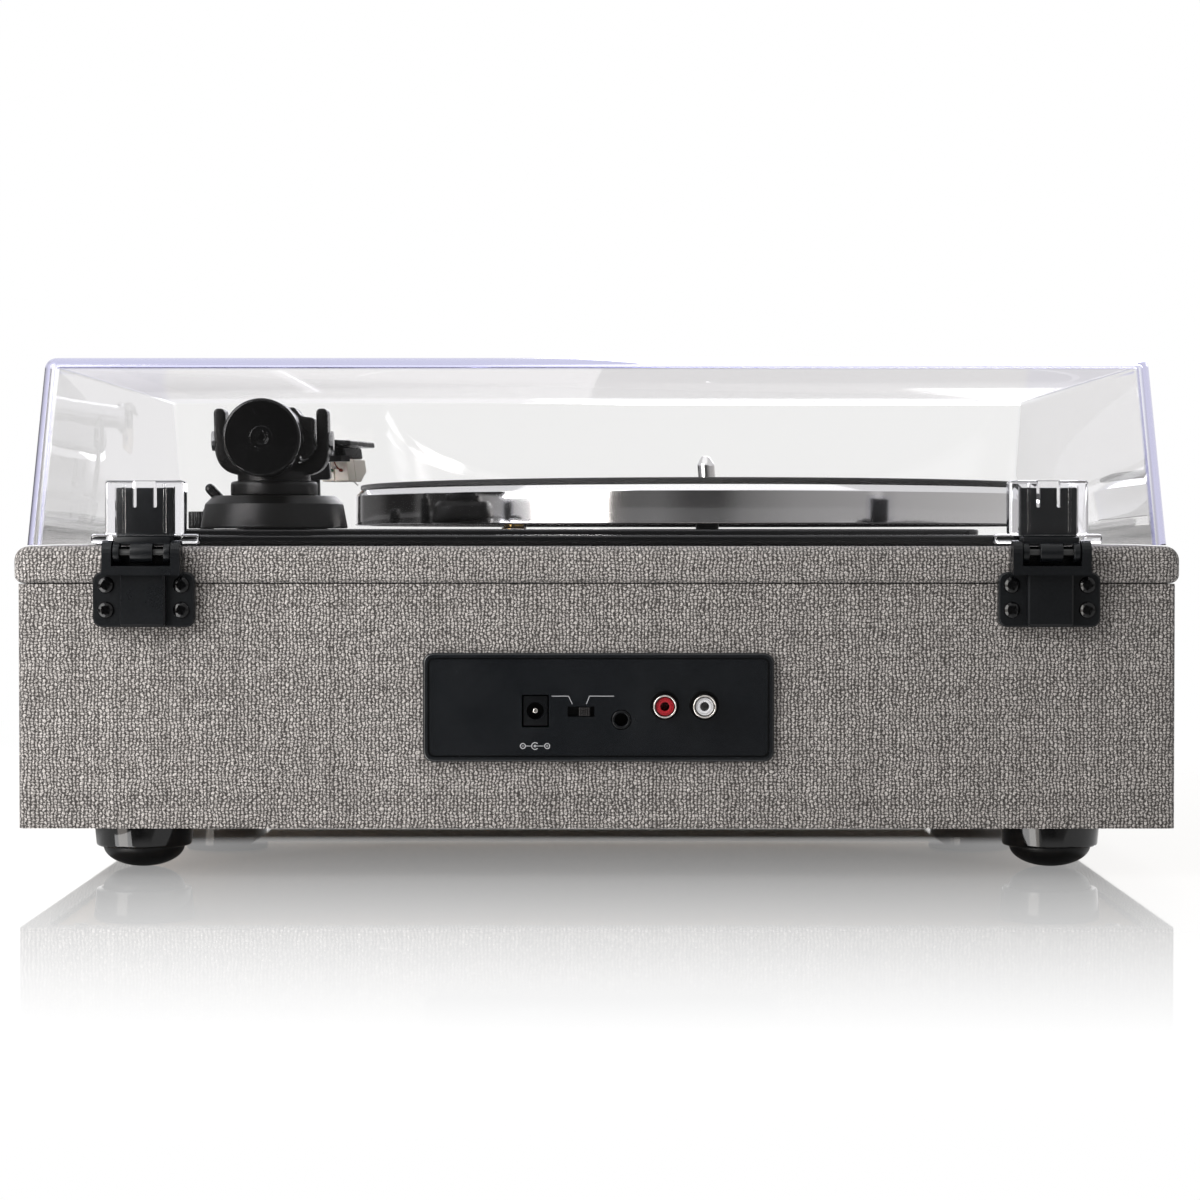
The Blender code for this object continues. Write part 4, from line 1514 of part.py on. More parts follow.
for thing in PARTS.objects:
    if thing.modifiers:
        normals = thing.modifiers.new("normals", "WEIGHTED_NORMAL")
        normals.keep_sharp = True
    print(thing.name, "at", [round(place, 4) for place in thing.location])
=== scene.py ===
# %% [markdown]
# # A turntable seen from behind
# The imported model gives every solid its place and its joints. This script adds the looks:
# linen, clear acrylic, polished aluminium, black mouldings, and finer copies of the pieces
# whose flat facets would show. Lengths are in metres, and +Y is the back of the turntable.

# %% Load the fixed frame
from math import cos, pi, radians, sin

import bmesh
import bpy
from mathutils import Matrix, Vector


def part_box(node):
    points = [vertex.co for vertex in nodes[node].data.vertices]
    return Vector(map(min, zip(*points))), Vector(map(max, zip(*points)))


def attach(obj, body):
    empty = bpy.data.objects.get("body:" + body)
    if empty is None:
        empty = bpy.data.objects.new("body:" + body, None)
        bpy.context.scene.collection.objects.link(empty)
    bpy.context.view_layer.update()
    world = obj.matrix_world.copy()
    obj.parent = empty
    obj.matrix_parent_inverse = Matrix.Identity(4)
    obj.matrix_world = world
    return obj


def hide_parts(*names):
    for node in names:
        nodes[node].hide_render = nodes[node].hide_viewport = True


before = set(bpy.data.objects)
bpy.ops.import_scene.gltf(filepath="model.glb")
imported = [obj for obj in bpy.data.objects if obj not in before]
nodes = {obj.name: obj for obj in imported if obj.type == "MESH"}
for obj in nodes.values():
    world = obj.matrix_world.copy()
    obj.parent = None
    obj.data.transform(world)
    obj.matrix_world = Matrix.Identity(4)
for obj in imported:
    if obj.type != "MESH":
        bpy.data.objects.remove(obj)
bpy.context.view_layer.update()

print("nodes", len(nodes))

# %% [markdown]
# ## Camera, light and floor
# The picture looks straight at the back from just above the top board. The rows of weave
# and the two hinges give its vanishing point, and the sockets give its scale, so the
# camera stands 1.145 m behind the back wall, a little above the deck, tipped down slightly.

# %% Camera
BACK_WALL_Y = 0.169675
CAMERA_BEHIND, CAMERA_HEIGHT, LENS = 1.145, 0.1256, 96.87
camera_data = bpy.data.cameras.new("camera")
camera_data.lens = LENS
camera_data.sensor_width = 36
camera_data.clip_start = 0.02
camera_data.clip_end = 50
camera = bpy.data.objects.new("camera", camera_data)
camera.location = (-0.003, BACK_WALL_Y + CAMERA_BEHIND, CAMERA_HEIGHT)
camera.rotation_euler = (radians(90 - 1.33), 0, radians(180 + 0.0887))
bpy.context.scene.collection.objects.link(camera)
bpy.context.scene.camera = camera
bpy.context.scene.view_settings.view_transform = "Standard"

# %% [markdown]
# All shaders below are small sums. So an output socket is wrapped in a class that knows plus,
# minus and times: each sign adds one Math node, and a plain number goes into its socket.

# %% Sockets that add up
class Wire:
    """A node's output that can be reckoned with like a number."""

    def __init__(self, socket):
        self.socket, self.tree = socket, socket.id_data

    def math(self, kind, *others, clamp=False):
        return Wire(add_node(self.tree, "Math", dict(enumerate((self, *others))), operation=kind,
                             use_clamp=clamp).outputs[0])

    def __add__(self, other):
        return self.math("ADD", other)

    def __sub__(self, other):
        return self.math("SUBTRACT", other)

    def __mul__(self, other):
        return self.math("MULTIPLY", other)

    def __truediv__(self, other):
        return self.math("DIVIDE", other)

    def most(self, other):
        return self.math("MAXIMUM", other)


def feed(socket, value):
    """Puts a number, a colour or another node's output into a socket."""
    if isinstance(value, Wire):
        socket.id_data.links.new(value.socket, socket)
    elif socket.type == "RGBA":
        socket.default_value = (*value, 1)
    else:
        socket.default_value = value


def add_node(tree, kind, inputs=None, **settings):
    """A new shader node with its settings and what goes into it."""
    made = tree.nodes.new("ShaderNode" + kind)
    for name, value in settings.items():
        setattr(made, name, value)
    for label, value in (inputs or {}).items():
        feed(made.inputs[label], value)
    return made


def noise(spot, scale, detail=2.0, roughness=0.5):
    return Wire(add_node(spot.tree, "TexNoise", {"Vector": spot, "Scale": scale, "Detail": detail,
                                                 "Roughness": roughness}).outputs["Fac"])


def joined(x, y, z=0.0):
    return Wire(add_node(x.tree, "CombineXYZ", {0: x, 1: y, 2: z}).outputs[0])


def split(vector):
    return [Wire(part) for part in add_node(vector.tree, "SeparateXYZ", {0: vector}).outputs]


def soft_step(value, start, end, low=0.0, high=1.0):
    """Goes softly from low to high while a value goes from start to end."""
    limits = {"Value": value, "From Min": start, "From Max": end, "To Min": low, "To Max": high}
    return Wire(add_node(value.tree, "MapRange", limits, interpolation_type="SMOOTHSTEP").outputs["Result"])


def mixed_number(share, zero, one):
    return Wire(add_node(share.tree, "Mix", {0: share, 2: zero, 3: one}, data_type="FLOAT").outputs[0])


def mixed_colour(share, zero, one):
    return Wire(add_node(share.tree, "Mix", {0: share, 6: zero, 7: one}, data_type="RGBA").outputs[2])


def mixed_shader(share, zero, one):
    return add_node(share.tree, "MixShader", {0: share, 1: Wire(zero.outputs[0]), 2: Wire(one.outputs[0])})


def object_place(tree):
    return Wire(add_node(tree, "TexCoord").outputs["Object"])


def rays_of(tree):
    """Rays of the eye, mirrored rays, and the Light Path node. A bent ray counts as glossy too."""
    path = add_node(tree, "LightPath")
    kinds = ("Camera", "Glossy", "Transmission")
    camera_ray, glossy, bent_ray = (Wire(path.outputs[f"Is {kind} Ray"]) for kind in kinds)
    return camera_ray.most(bent_ray), glossy.math("SUBTRACT", bent_ray, clamp=True), path

# %% [markdown]
# A white studio is mostly soft light from everywhere, so the world does half of the work.
#
# Shiny things need something to mirror. A photographer stands dark cards and a bright card
# round the set, and each mirrored card becomes an upright band on the rim of the platter.
# The cards are levels round the horizon, in degrees from the camera's side towards the left,
# and only mirror rays see them. Each has a height too, and above it is the white ceiling.

# %% World with cards round the set
WORLD_LEVEL = 0.48
WHITE = (1, 1, 1)
CARDS = [(-180, 1.0), (-150, 1.0), (-110, 0.65), (-60, 0.50), (-54.5, 0.40), (-53.5, 0.66), (-51, 0.66),
         (-50, 0.42), (-40, 0.39), (-25, 0.33), (-9, 0.19), (-2, 0.064), (8, 0.068), (17, 0.155), (26, 0.13),
         (32.5, 0.19), (33.5, 5.0), (56.5, 5.0), (59, 1.1), (66, 0.48), (82, 0.20), (86.5, 0.02), (100, 0.03),
         (103, 0.09), (107, 0.09), (110, 0.014), (125, 0.018), (134, 0.09), (150, 0.13), (158, 0.6),
         (168, 1.2)]
world = bpy.data.worlds.new("studio")
bpy.context.scene.world = world
world.use_nodes = True
tree = world.node_tree
tree.nodes.clear()
shown, mirrored, _ = rays_of(tree)
x, y, z = split(Wire(add_node(tree, "TexCoord").outputs["Generated"]))
round_set = x.math("ARCTAN2", y).math("MULTIPLY_ADD", 1 / (2 * pi), 0.5)
cards = add_node(tree, "ValToRGB", {"Fac": round_set})
cards.color_ramp.elements.remove(cards.color_ramp.elements[-1])
for number, (turn, grey) in enumerate(CARDS):
    spot = (turn + 180) / 360
    stop = cards.color_ramp.elements[0] if number == 0 else cards.color_ramp.elements.new(spot)
    stop.position = spot
    warmth = 0.06 if 31 < turn < 57 else 0.015
    tall = 0.60 if 33 < turn < 57 else 0.30 if -30 < turn < 30 else 0.10
    stop.color = (grey, grey * (1 - warmth), grey * (1 - 2 * warmth), tall)
card_top = Wire(cards.outputs["Alpha"])
in_mirrors = mixed_colour(soft_step(z, card_top, card_top + 0.10), Wire(cards.outputs["Color"]), WHITE)
colour = mixed_colour(mirrored, mixed_colour(shown, (WORLD_LEVEL,) * 3, WHITE), in_mirrors)
sky = add_node(tree, "Background", {"Color": colour})
add_node(tree, "OutputWorld", {"Surface": Wire(sky.outputs[0])})

# %% [markdown]
# Three soft lamps do the rest: one overhead, a stronger one near the left side, which is why
# the cloth gets darker towards the right, and a weak one for the front, which the picture
# doesn't show.

# %% Lamps
for name, place, aim, size, power in (("top_light", (0.15, 0.20, 1.30), (0, 0, 0.12), 1.4, 3.4),
                                      ("left_light", (0.60, 0.58, 0.46), (0.05, 0.10, 0.10), 0.6, 7.6),
                                      ("front_light", (-0.40, -1.30, 0.85), (0, 0, 0.08), 0.9, 9.0)):
    lamp = bpy.data.lights.new(name, "AREA")
    lamp.shape = "SQUARE"
    lamp.size = size
    lamp.energy = power
    box = bpy.data.objects.new(name, lamp)
    box.location = place
    box.rotation_euler = (Vector(aim) - Vector(place)).to_track_quat("-Z", "Y").to_euler()
    bpy.context.scene.collection.objects.link(box)

# %% [markdown]
# The floor is a polished white sheet. It mirrors the feet, the underside and the lower cloth,
# and the mirror image fades out in front of the turntable. So for the eye the material is a
# mirror near the footprint and white further off. Rays that were mirrored already find a
# mirror nearly everywhere, which lets the cards reach down behind it. Right under the middle,
# where hardly any light gets in, and for all other rays, it is plain white. Beside the middle
# the mirror starts again, to show the feet on the far side.

# %% Floor
FOOTPRINT_HALF_X, FOOTPRINT_HALF_Y = 0.20, 0.17
MIRROR_AT_EDGE, MIRROR_MOST, FADE_PER_METRE = 0.60, 0.84, 1.72
MIRROR_IN_MIRROR = 0.92
floor_mesh = bpy.data.meshes.new("floor")
bm = bmesh.new()
bmesh.ops.create_grid(bm, x_segments=1, y_segments=1, size=6.0)
bm.to_mesh(floor_mesh)
bm.free()
floor = bpy.data.objects.new("floor", floor_mesh)
bpy.context.scene.collection.objects.link(floor)
floor_paint = bpy.data.materials.new("floor_white")
floor_paint.use_nodes = True
tree = floor_paint.node_tree
white = tree.nodes["Principled BSDF"]
feed(white.inputs["Base Color"], (0.90, 0.90, 0.90))
feed(white.inputs["Roughness"], 0.6)
polish = add_node(tree, "BsdfPrincipled", {"Base Color": WHITE, "Metallic": 1.0, "Roughness": 0.03})
shown, mirrored, _ = rays_of(tree)
in_mirror = mirrored * MIRROR_IN_MIRROR
x, y, _ = split(object_place(tree))
past_x = x.math("ABSOLUTE") - FOOTPRINT_HALF_X
past_y = y.math("ABSOLUTE") - FOOTPRINT_HALF_Y
past = past_x.most(past_y)
fade = past.math("MULTIPLY_ADD", -FADE_PER_METRE, MIRROR_AT_EDGE).most(0.0).math("MINIMUM", MIRROR_MOST)
by_depth = soft_step(past_y, -0.160, -0.120)
mirror_share = shown * by_depth.most(soft_step(past_x, -0.066, -0.063)) * fade
lit_share = shown * by_depth.most(soft_step(past_x, -0.030, 0.0)) * soft_step(past, 0.03, 0.55, 0.78)
lit = mixed_shader(lit_share.most(in_mirror), white, add_node(tree, "Emission"))
mirror = mixed_shader(mirror_share.most(in_mirror), lit, polish)
feed(tree.nodes["Material Output"].inputs["Surface"], Wire(mirror.outputs[0]))
floor_mesh.materials.append(floor_paint)

# %% [markdown]
# ## Tools for the workshop
# Most pieces of a record player are turned, moulded or bent from rod, so four helpers make
# nearly all of them: a profile spun round an axis, a rounded block, an outline pushed to a
# thickness, and a rod along a path. A small radius on every corner matters more than any
# other detail, because it is the corner that catches the light.

# %% Outlines
def eased(points, closed=True, steps=4):
    """A line whose corners, given as (a, b, radius), become short arcs."""
    line, count = [], len(points)
    for place, point in enumerate(points):
        here = Vector(point[:2])
        if len(point) < 3 or (not closed and place in (0, count - 1)):
            line.append(here)
            continue
        back = Vector(points[place - 1][:2]) - here
        onward = Vector(points[(place + 1) % count][:2]) - here
        half = back.angle(onward) / 2
        reach = min(point[2] / max(sin(half) / cos(half), 0.05), back.length * 0.49, onward.length * 0.49)
        first, last = here + back.normalized() * reach, here + onward.normalized() * reach
        for step in range(steps + 1):
            t = step / steps
            line.append(first * (1 - t) ** 2 + here * 2 * t * (1 - t) + last * t ** 2)
    return line


def box_outline(left, low, right, high, corner, steps=8):
    return eased([(left, low, corner), (right, low, corner), (right, high, corner), (left, high, corner)],
                 steps=steps)


def ring_points(x, y, radii):
    """Points round a middle, one for each radius."""
    angles = [2 * pi * k / len(radii) for k in range(len(radii))]
    return [(x + radius * cos(angle), y + radius * sin(angle)) for radius, angle in zip(radii, angles)]


# %% Turned shapes
AXIS_TURN = {"Z": Matrix.Identity(4), "Y": Matrix.Rotation(-pi / 2, 4, "X"),
             "X": Matrix.Rotation(pi / 2, 4, "Y")}


def turned(points, place=(0, 0, 0), axis="Z", steps=96):
    """Spins (radius, height) points round an axis through a place."""
    bm = bmesh.new()
    verts = [bm.verts.new((point[0], 0, point[1])) for point in eased(points, closed=False)]
    edges = [bm.edges.new(pair) for pair in zip(verts, verts[1:])]
    bmesh.ops.spin(bm, geom=verts + edges, cent=(0, 0, 0), axis=(0, 0, 1), dvec=(0, 0, 0),
                   angle=2 * pi, steps=steps, use_merge=True, use_duplicate=False)
    bmesh.ops.remove_doubles(bm, verts=bm.verts, dist=1e-6)
    bmesh.ops.transform(bm, matrix=Matrix.Translation(place) @ AXIS_TURN[axis], verts=bm.verts)
    return bm


def drum(radius, low, high, place=(0, 0, 0), axis="Z", steps=40):
    """A plain round bar."""
    return turned([(0, low), (radius, low), (radius, high), (0, high)], place, axis, steps)


# %% Blocks, plates and rods
def rounded(bm, edges, width, segments, clamp=True):
    bmesh.ops.bevel(bm, geom=edges, offset=width, segments=segments, affect="EDGES", profile=0.5,
                    material=-1, clamp_overlap=clamp)


def block(low, high, radius=0.0, segments=3, only_axis=None):
    """A box between two corners, its edges rounded, or only those along one axis."""
    low, high = Vector(low), Vector(high)
    bm = bmesh.new()
    bmesh.ops.create_cube(bm, size=1)
    bmesh.ops.scale(bm, vec=high - low, verts=bm.verts)
    bmesh.ops.translate(bm, vec=(high + low) / 2, verts=bm.verts)
    edges = bm.edges[:]
    if only_axis is not None:
        edges = [e for e in edges if abs((e.verts[0].co - e.verts[1].co).normalized()[only_axis]) > 0.99]
    if radius:
        rounded(bm, edges, radius, segments)
    return bm


def slab(x, z, half_x, half_z, near_y, far_y, radius=0.0):
    """A block round a middle of the back wall, between two depths."""
    return block((x - half_x, near_y, z - half_z), (x + half_x, far_y, z + half_z), radius)


PLANES = {"Z": lambda a, b, c: (a, b, c), "Y": lambda a, b, c: (a, c, b), "X": lambda a, b, c: (c, a, b)}


def plate(outline, low, high, axis="Z", edge=0.0, segments=3):
    """An outline pushed from low to high along an axis, with its rims rounded."""
    bm = bmesh.new()
    face = bm.faces.new([bm.verts.new(PLANES[axis](point[0], point[1], low)) for point in outline])
    grown = bmesh.ops.extrude_face_region(bm, geom=[face])
    moved = [item for item in grown["geom"] if isinstance(item, bmesh.types.BMVert)]
    bmesh.ops.translate(bm, vec=PLANES[axis](0, 0, high - low), verts=moved)
    if edge:
        which = "XYZ".index(axis)
        rims = [e for e in bm.edges if abs(e.verts[0].co[which] - e.verts[1].co[which]) < 1e-7]
        rounded(bm, rims, edge, segments)
    return bm


def disc(x, y, radius, low, high, axis="Y", steps=48):
    return plate(ring_points(x, y, [radius] * steps), low, high, axis)


def rod(points, radius, sides):
    """A rod that follows points, with domed ends."""
    path = [Vector(point) for point in points]
    domes = []
    for end, beside in ((0, 1), (-1, -2)):
        way = (path[end] - path[beside]).normalized()
        domes.append([(path[end] - way * radius * (1 - sin(a)), cos(a)) for a in (0, 0.5, 0.95, 1.3, 1.5)])
    line = [*reversed(domes[0]), *((spot, 1.0) for spot in path[1:-1]), *domes[1]]
    curve = bpy.data.curves.new("rod", "CURVE")
    curve.dimensions = "3D"
    spline = curve.splines.new("POLY")
    spline.points.add(len(line) - 1)
    for point, (spot, size) in zip(spline.points, line):
        point.co = (*spot, 1)
        point.radius = size
    curve.bevel_depth = radius
    curve.bevel_resolution = sides // 4 - 1
    curve.use_fill_caps = True
    holder = bpy.data.objects.new("rod", curve)
    mesh = bpy.data.meshes.new_from_object(holder)
    bpy.data.objects.remove(holder)
    bpy.data.curves.remove(curve)
    bm = bmesh.new()
    bm.from_mesh(mesh)
    bpy.data.meshes.remove(mesh)
    return bm


def smooth_path(points, steps=8):
    """A curve through points, as a denser list of them."""
    points = [Vector(point) for point in points]
    line = []
    for k in range(len(points) - 1):
        a, b = points[max(k - 1, 0)], points[k]
        c, d = points[k + 1], points[min(k + 2, len(points) - 1)]
        for step in range(steps):
            t = step / steps
            line.append(0.5 * ((2 * b) + (c - a) * t + (2 * a - 5 * b + 4 * c - d) * t ** 2
                               + (3 * b - a - 3 * c + d) * t ** 3))
    return line + [points[-1]]


# %% Joining, cutting and finishing a piece
def together(*shapes):
    """Several bmeshes as one."""
    whole = shapes[0]
    for shape in shapes[1:]:
        mesh = bpy.data.meshes.new("part")
        shape.to_mesh(mesh)
        whole.from_mesh(mesh)
        bpy.data.meshes.remove(mesh)
        shape.free()
    return whole


def solid_object(name, bm):
    bmesh.ops.remove_doubles(bm, verts=bm.verts, dist=1e-6)
    bmesh.ops.recalc_face_normals(bm, faces=bm.faces)
    mesh = bpy.data.meshes.new(name)
    bm.to_mesh(mesh)
    bm.free()
    thing = bpy.data.objects.new(name, mesh)
    bpy.context.scene.collection.objects.link(thing)
    return thing


def less(base, *others, operation="DIFFERENCE"):
    """A bmesh cut by the others, one after the other."""
    for other in others:
        first, second = solid_object("base", base), solid_object("tool", other)
        step = first.modifiers.new("step", "BOOLEAN")
        step.object, step.operation, step.solver = second, operation, "EXACT"
        bpy.context.view_layer.update()
        mesh = bpy.data.meshes.new_from_object(first.evaluated_get(bpy.context.evaluated_depsgraph_get()))
        base = bmesh.new()
        base.from_mesh(mesh)
        for thing in (first, second):
            old = thing.data
            bpy.data.objects.remove(thing)
            bpy.data.meshes.remove(old)
        bpy.data.meshes.remove(mesh)
    return base


def plus(base, *others):
    """A bmesh joined with the others into one skin."""
    return less(base, *others, operation="UNION")


def finish_piece(name, bm, paint, body, slot, stands_for=None, sharp=40):
    """Makes the object, shades it, and tells the frame what it rides on and stands for."""
    thing = solid_object(name, bm)
    for polygon in thing.data.polygons:
        polygon.use_smooth = True
    thing.data.set_sharp_from_angle(angle=radians(sharp))
    thing.data.materials.append(paint)
    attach(thing, body)
    if stands_for:
        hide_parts(stands_for)
    print(name, len(thing.data.polygons), "faces on", body)


def repaint(paint, *names):
    """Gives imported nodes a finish; their shape is left as it is."""
    for name in names:
        for holder in nodes[name].material_slots:
            holder.material = paint

# %% [markdown]
# ## Finishes
# Three effects are shared, so each is a node group: a plain weave, the fine grain of moulded
# plastic and the circular tool marks of turned metal. They put out only values that change
# over the surface; the shader stays in each material.

# %% Group tools
def new_group(name, inputs, outputs):
    """An empty shader node group, the wires that come in, and the sockets to feed."""
    group = bpy.data.node_groups.new(name, "ShaderNodeTree")
    for label, value in inputs.items():
        kind = "NodeSocketVector" if value is None else "NodeSocketFloat"
        socket = group.interface.new_socket(name=label, in_out="INPUT", socket_type=kind)
        if value is not None:
            socket.default_value = value
    for label in outputs:
        group.interface.new_socket(name=label, in_out="OUTPUT", socket_type="NodeSocketFloat")
    start, end = group.nodes.new("NodeGroupInput"), group.nodes.new("NodeGroupOutput")
    return group, [Wire(start.outputs[label]) for label in inputs], end.inputs


def use_group(group, **inputs):
    """Puts a group into a material; gives its outputs as wires."""
    tree = next(value.tree for value in inputs.values() if isinstance(value, Wire))
    named = {label.replace("_", " "): value for label, value in inputs.items()}
    return [Wire(socket) for socket in add_node(tree, "Group", named, node_tree=group).outputs]

# %% [markdown]
# Plain weave goes over one thread and under the next. Each cell of a chessboard shows either
# the upright or the level thread, and every thread has its own thickness and tone.

# %% Weave group
WEAVE_INPUTS = {"Across": 0.0, "Along": 0.0, "Pitch": 0.0007, "Unevenness": 0.5}
weave, weave_wires, woven = new_group("plain_weave", WEAVE_INPUTS, ("Height", "Tone", "Shade_in_gaps"))
raw_across, raw_along, pitch, unevenness = weave_wires


def wander(vector, slow, quick):
    """How far a thread strays from its place: slow waves and quick kinks."""
    return (noise(vector, 130.0) - 0.5) * slow + (noise(vector, 760.0, 3.0, 0.6) - 0.5) * quick


across = raw_across / pitch + wander(joined(raw_across, raw_along), 1.9, 1.5)
along = raw_along / pitch + wander(joined(raw_along, raw_across, 3.0), 2.3, 1.9)
column, row = across.math("FLOOR"), along.math("FLOOR")
hump_a, hump_b = ((way.math("FRACT") * pi).math("SINE") for way in (across, along))
upright = (column + row).math("PINGPONG", 1.0)


def thread_noise(thread, way, seed):
    """One tone for each thread, with slow changes along it."""
    white = add_node(weave, "TexWhiteNoise", {"Vector": joined(thread, seed)}, noise_dimensions="2D")
    slub = noise(joined(thread * 5.3, way * 0.9, seed), 1.0, 3.0)
    return Wire(white.outputs["Value"]) * 0.25 + slub * 0.5 - 0.37


def thread_height(hump, other, tone, dip):
    bow = other * dip + (1.0 - dip)
    return hump.most(0.0).math("POWER", 0.6) * bow * (tone * unevenness + 1.0)


tone_up, tone_level = thread_noise(column, along, 1.5), thread_noise(row, across, 7.5)
height = mixed_number(upright, thread_height(hump_a, hump_b, tone_up, 0.30),
                      thread_height(hump_b, hump_a, tone_level, 0.62) * 0.86)
feed(woven["Height"], height)
feed(woven["Tone"], mixed_number(upright, tone_up, tone_level))
# The third output marks the low places between the threads, where the linen paints a dark colour as painted
# shade.
feed(woven["Shade_in_gaps"], soft_step(height, 0.36, 0.92))

# %% Grain and tool marks
grain, (place, fineness), grained = new_group("fine_grain", {"Vector": None, "Grains per metre": 2200.0},
                                              ("Height", "Shine"))
pebble = add_node(grain, "TexVoronoi", {"Smoothness": 0.6, "Vector": place, "Scale": fineness},
                  feature="SMOOTH_F1")
feed(grained["Height"], Wire(pebble.outputs["Distance"]))
feed(grained["Shine"], (noise(place, 55.0, 4.0, 0.6) - 0.5) * 0.25)

marks, (place, fineness), marked = new_group("tool_marks", {"Vector": None, "Rings per metre": 4000.0},
                                             ("Height", "Shine"))
x, y, z = split(place)
ring_noise = noise(joined(((x * x + y * y).math("SQRT") + z) * fineness, 0.0), 1.0, 2.0, 0.7)
feed(marked["Height"], ring_noise)
feed(marked["Shine"], (ring_noise - 0.5) * 0.12)


# %% Paint makers
def new_paint(name, colour, roughness, metallic=0.0, **more):
    """A material with a Principled shader; gives the shader's inputs and the place too."""
    material = bpy.data.materials.new(name)
    material.use_nodes = True
    shader = material.node_tree.nodes["Principled BSDF"]
    for label, value in dict(more, base_color=colour, roughness=roughness, metallic=metallic).items():
        feed(shader.inputs[label.replace("_", " ").title().replace("Ior", "IOR")], value)
    return material, shader.inputs, object_place(material.node_tree)


def placed(vector, middle=(0, 0, 0), turn=(0, 0, 0)):
    """Object coordinates measured from a middle, with a chosen axis turned to Z."""
    return Wire(add_node(vector.tree, "Mapping", {"Vector": vector, "Location": middle, "Rotation": turn},
                         vector_type="TEXTURE").outputs[0])


def bump(shader, height, distance, strength=1.0):
    made = add_node(height.tree, "Bump", {"Height": height, "Distance": distance, "Strength": strength})
    feed(shader["Normal"], Wire(made.outputs[0]))


def moulded_plastic(name, colour, roughness, grains=2600.0, depth=4e-6, pale=None, mottle=90.0, shine=0.20):
    """Moulded plastic: a pebbled grain, and a shine and a tone that wander a little."""
    material, shader, place = new_paint(name, colour, roughness, specular_ior_level=shine)
    height, wandering = use_group(grain, Vector=place, Grains_per_metre=grains)
    feed(shader["Roughness"], wandering.math("ADD", roughness, clamp=True))
    pale = pale or tuple(part * 1.25 + 0.0008 for part in colour)
    feed(shader["Base Color"], mixed_colour(noise(place, mottle, 3.0), colour, pale))
    bump(shader, height, depth)
    return material


def turned_metal(name, colour, roughness, middle=(0, 0, 0), turn=(0, 0, 0), rings=4000.0, depth=4e-6, **more):
    """Metal with the fine rings that a lathe leaves round a chosen axis."""
    material, shader, place = new_paint(name, colour, roughness, **{"metallic": 1.0, **more})
    height, wandering = use_group(marks, Vector=placed(place, middle, turn), Rings_per_metre=rings)
    feed(shader["Roughness"], wandering.math("ADD", roughness, clamp=True))
    bump(shader, height, depth)
    return material


def fibrous(name, colour, roughness, dark, pale, scale, detail, coarse=0.5, depth=0.0):
    """A matt stuff of fibres or specks, some darker and some paler."""
    material, shader, place = new_paint(name, colour, roughness)
    fibres = noise(place, scale, detail, coarse)
    feed(shader["Base Color"], mixed_colour(fibres, dark, pale))
    if depth:
        bump(shader, fibres, depth)
    return material


def smeared(name, colour, roughness, scale, detail, rough_range, rough_least, pits, **more):
    """A polished stuff whose shine is smeared, with a trace of pits."""
    material, shader, place = new_paint(name, colour, roughness, **more)
    feed(shader["Roughness"], noise(place, scale, detail, 0.6).math("MULTIPLY_ADD", rough_range, rough_least))
    bump(shader, noise(place, pits), 3e-6)
    return material


def pitted(name, colour, roughness, **more):
    """A pale plastic with very fine pits."""
    material, shader, place = new_paint(name, colour, roughness, **more)
    bump(shader, noise(place, 3200.0), 4e-6)
    return material

# %% [markdown]
# ## Linen
# The cabinet is wrapped in a coarse greige linen. The same weave runs over every side, so
# the material picks its two directions from the way the surface faces.

# %% Linen
THREAD_PITCH, THREAD_RISE = 0.00133, 0.00114
cabinet_cloth, shader, place = new_paint("cabinet_linen", (0.30, 0.28, 0.26), 0.92, sheen_weight=0.15,
                                         sheen_roughness=0.6, specular_ior_level=0.25)
facing = Wire(add_node(place.tree, "TexCoord").outputs["Normal"])
x, y, z = (way.math("ABSOLUTE") for way in split(facing))
spot_x, spot_y, spot_z = split(place)
is_side, is_top = x.math("GREATER_THAN", y), z.math("GREATER_THAN", x.most(y))
across = mixed_number(is_top, mixed_number(is_side, spot_x, spot_y), spot_x)
along = mixed_number(is_top, spot_z, spot_y) * (THREAD_PITCH / THREAD_RISE)
height, tone, gap_shade = use_group(weave, Across=across, Along=along, Pitch=THREAD_PITCH, Unevenness=0.6)
thread = mixed_colour(tone.math("ADD", 0.5, clamp=True), (0.36, 0.330, 0.309), (0.69, 0.648, 0.619))
cloudy = noise(place, 40.0, 4.0).math("MULTIPLY_ADD", 0.30, 0.84, clamp=True)
speckle = noise(place, 1500.0, 3.0, 0.75).math("MULTIPLY_ADD", 3.0, -0.72, clamp=True)
# The dark colour is painted shade in the gaps between the threads; the clouds and specks that also reach it
# are the cloth's own random tone.
feed(shader["Base Color"], mixed_colour(gap_shade * (cloudy * speckle), (0.038, 0.033, 0.030), thread))
bump(shader, height, 0.00035, 0.8)

# %% [markdown]
# ## The top board
# The board is thicker than it looks: the cloth turns over a soft edge on top and a smaller
# one below. Starting from a box, the four uprights are bevelled, then the two rims.

# %% Top board
def rim_edges(bm, z):
    return [e for e in bm.edges if all(abs(v.co.z - z) < 1e-6 for v in e.verts)]


board_low, board_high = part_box("top_board")
board = block(board_low, board_high, 0.0065, 8, only_axis=2)
for z, width in ((board_high[2], 0.005), (board_low[2], 0.003)):
    rounded(board, rim_edges(board, z), width, 8)
board = less(board, block((-0.160, -0.142, 0.10), (0.170, 0.1336, 0.13)))
finish_piece("cloth_top_board", board, cabinet_cloth, "cabinet", "top_fabric", "top_board", sharp=60)
repaint(cabinet_cloth, "cabinet_walls")

# %% [markdown]
# The bottom is plain fibreboard, set up inside the walls where the cloth is folded under.

# %% Bottom board
repaint(fibrous("fibre_board", (0.30, 0.22, 0.15), 0.85, (0.20, 0.14, 0.09), (0.40, 0.30, 0.21), 420.0, 6.0,
                0.7, 0.0001), "bottom_panel")

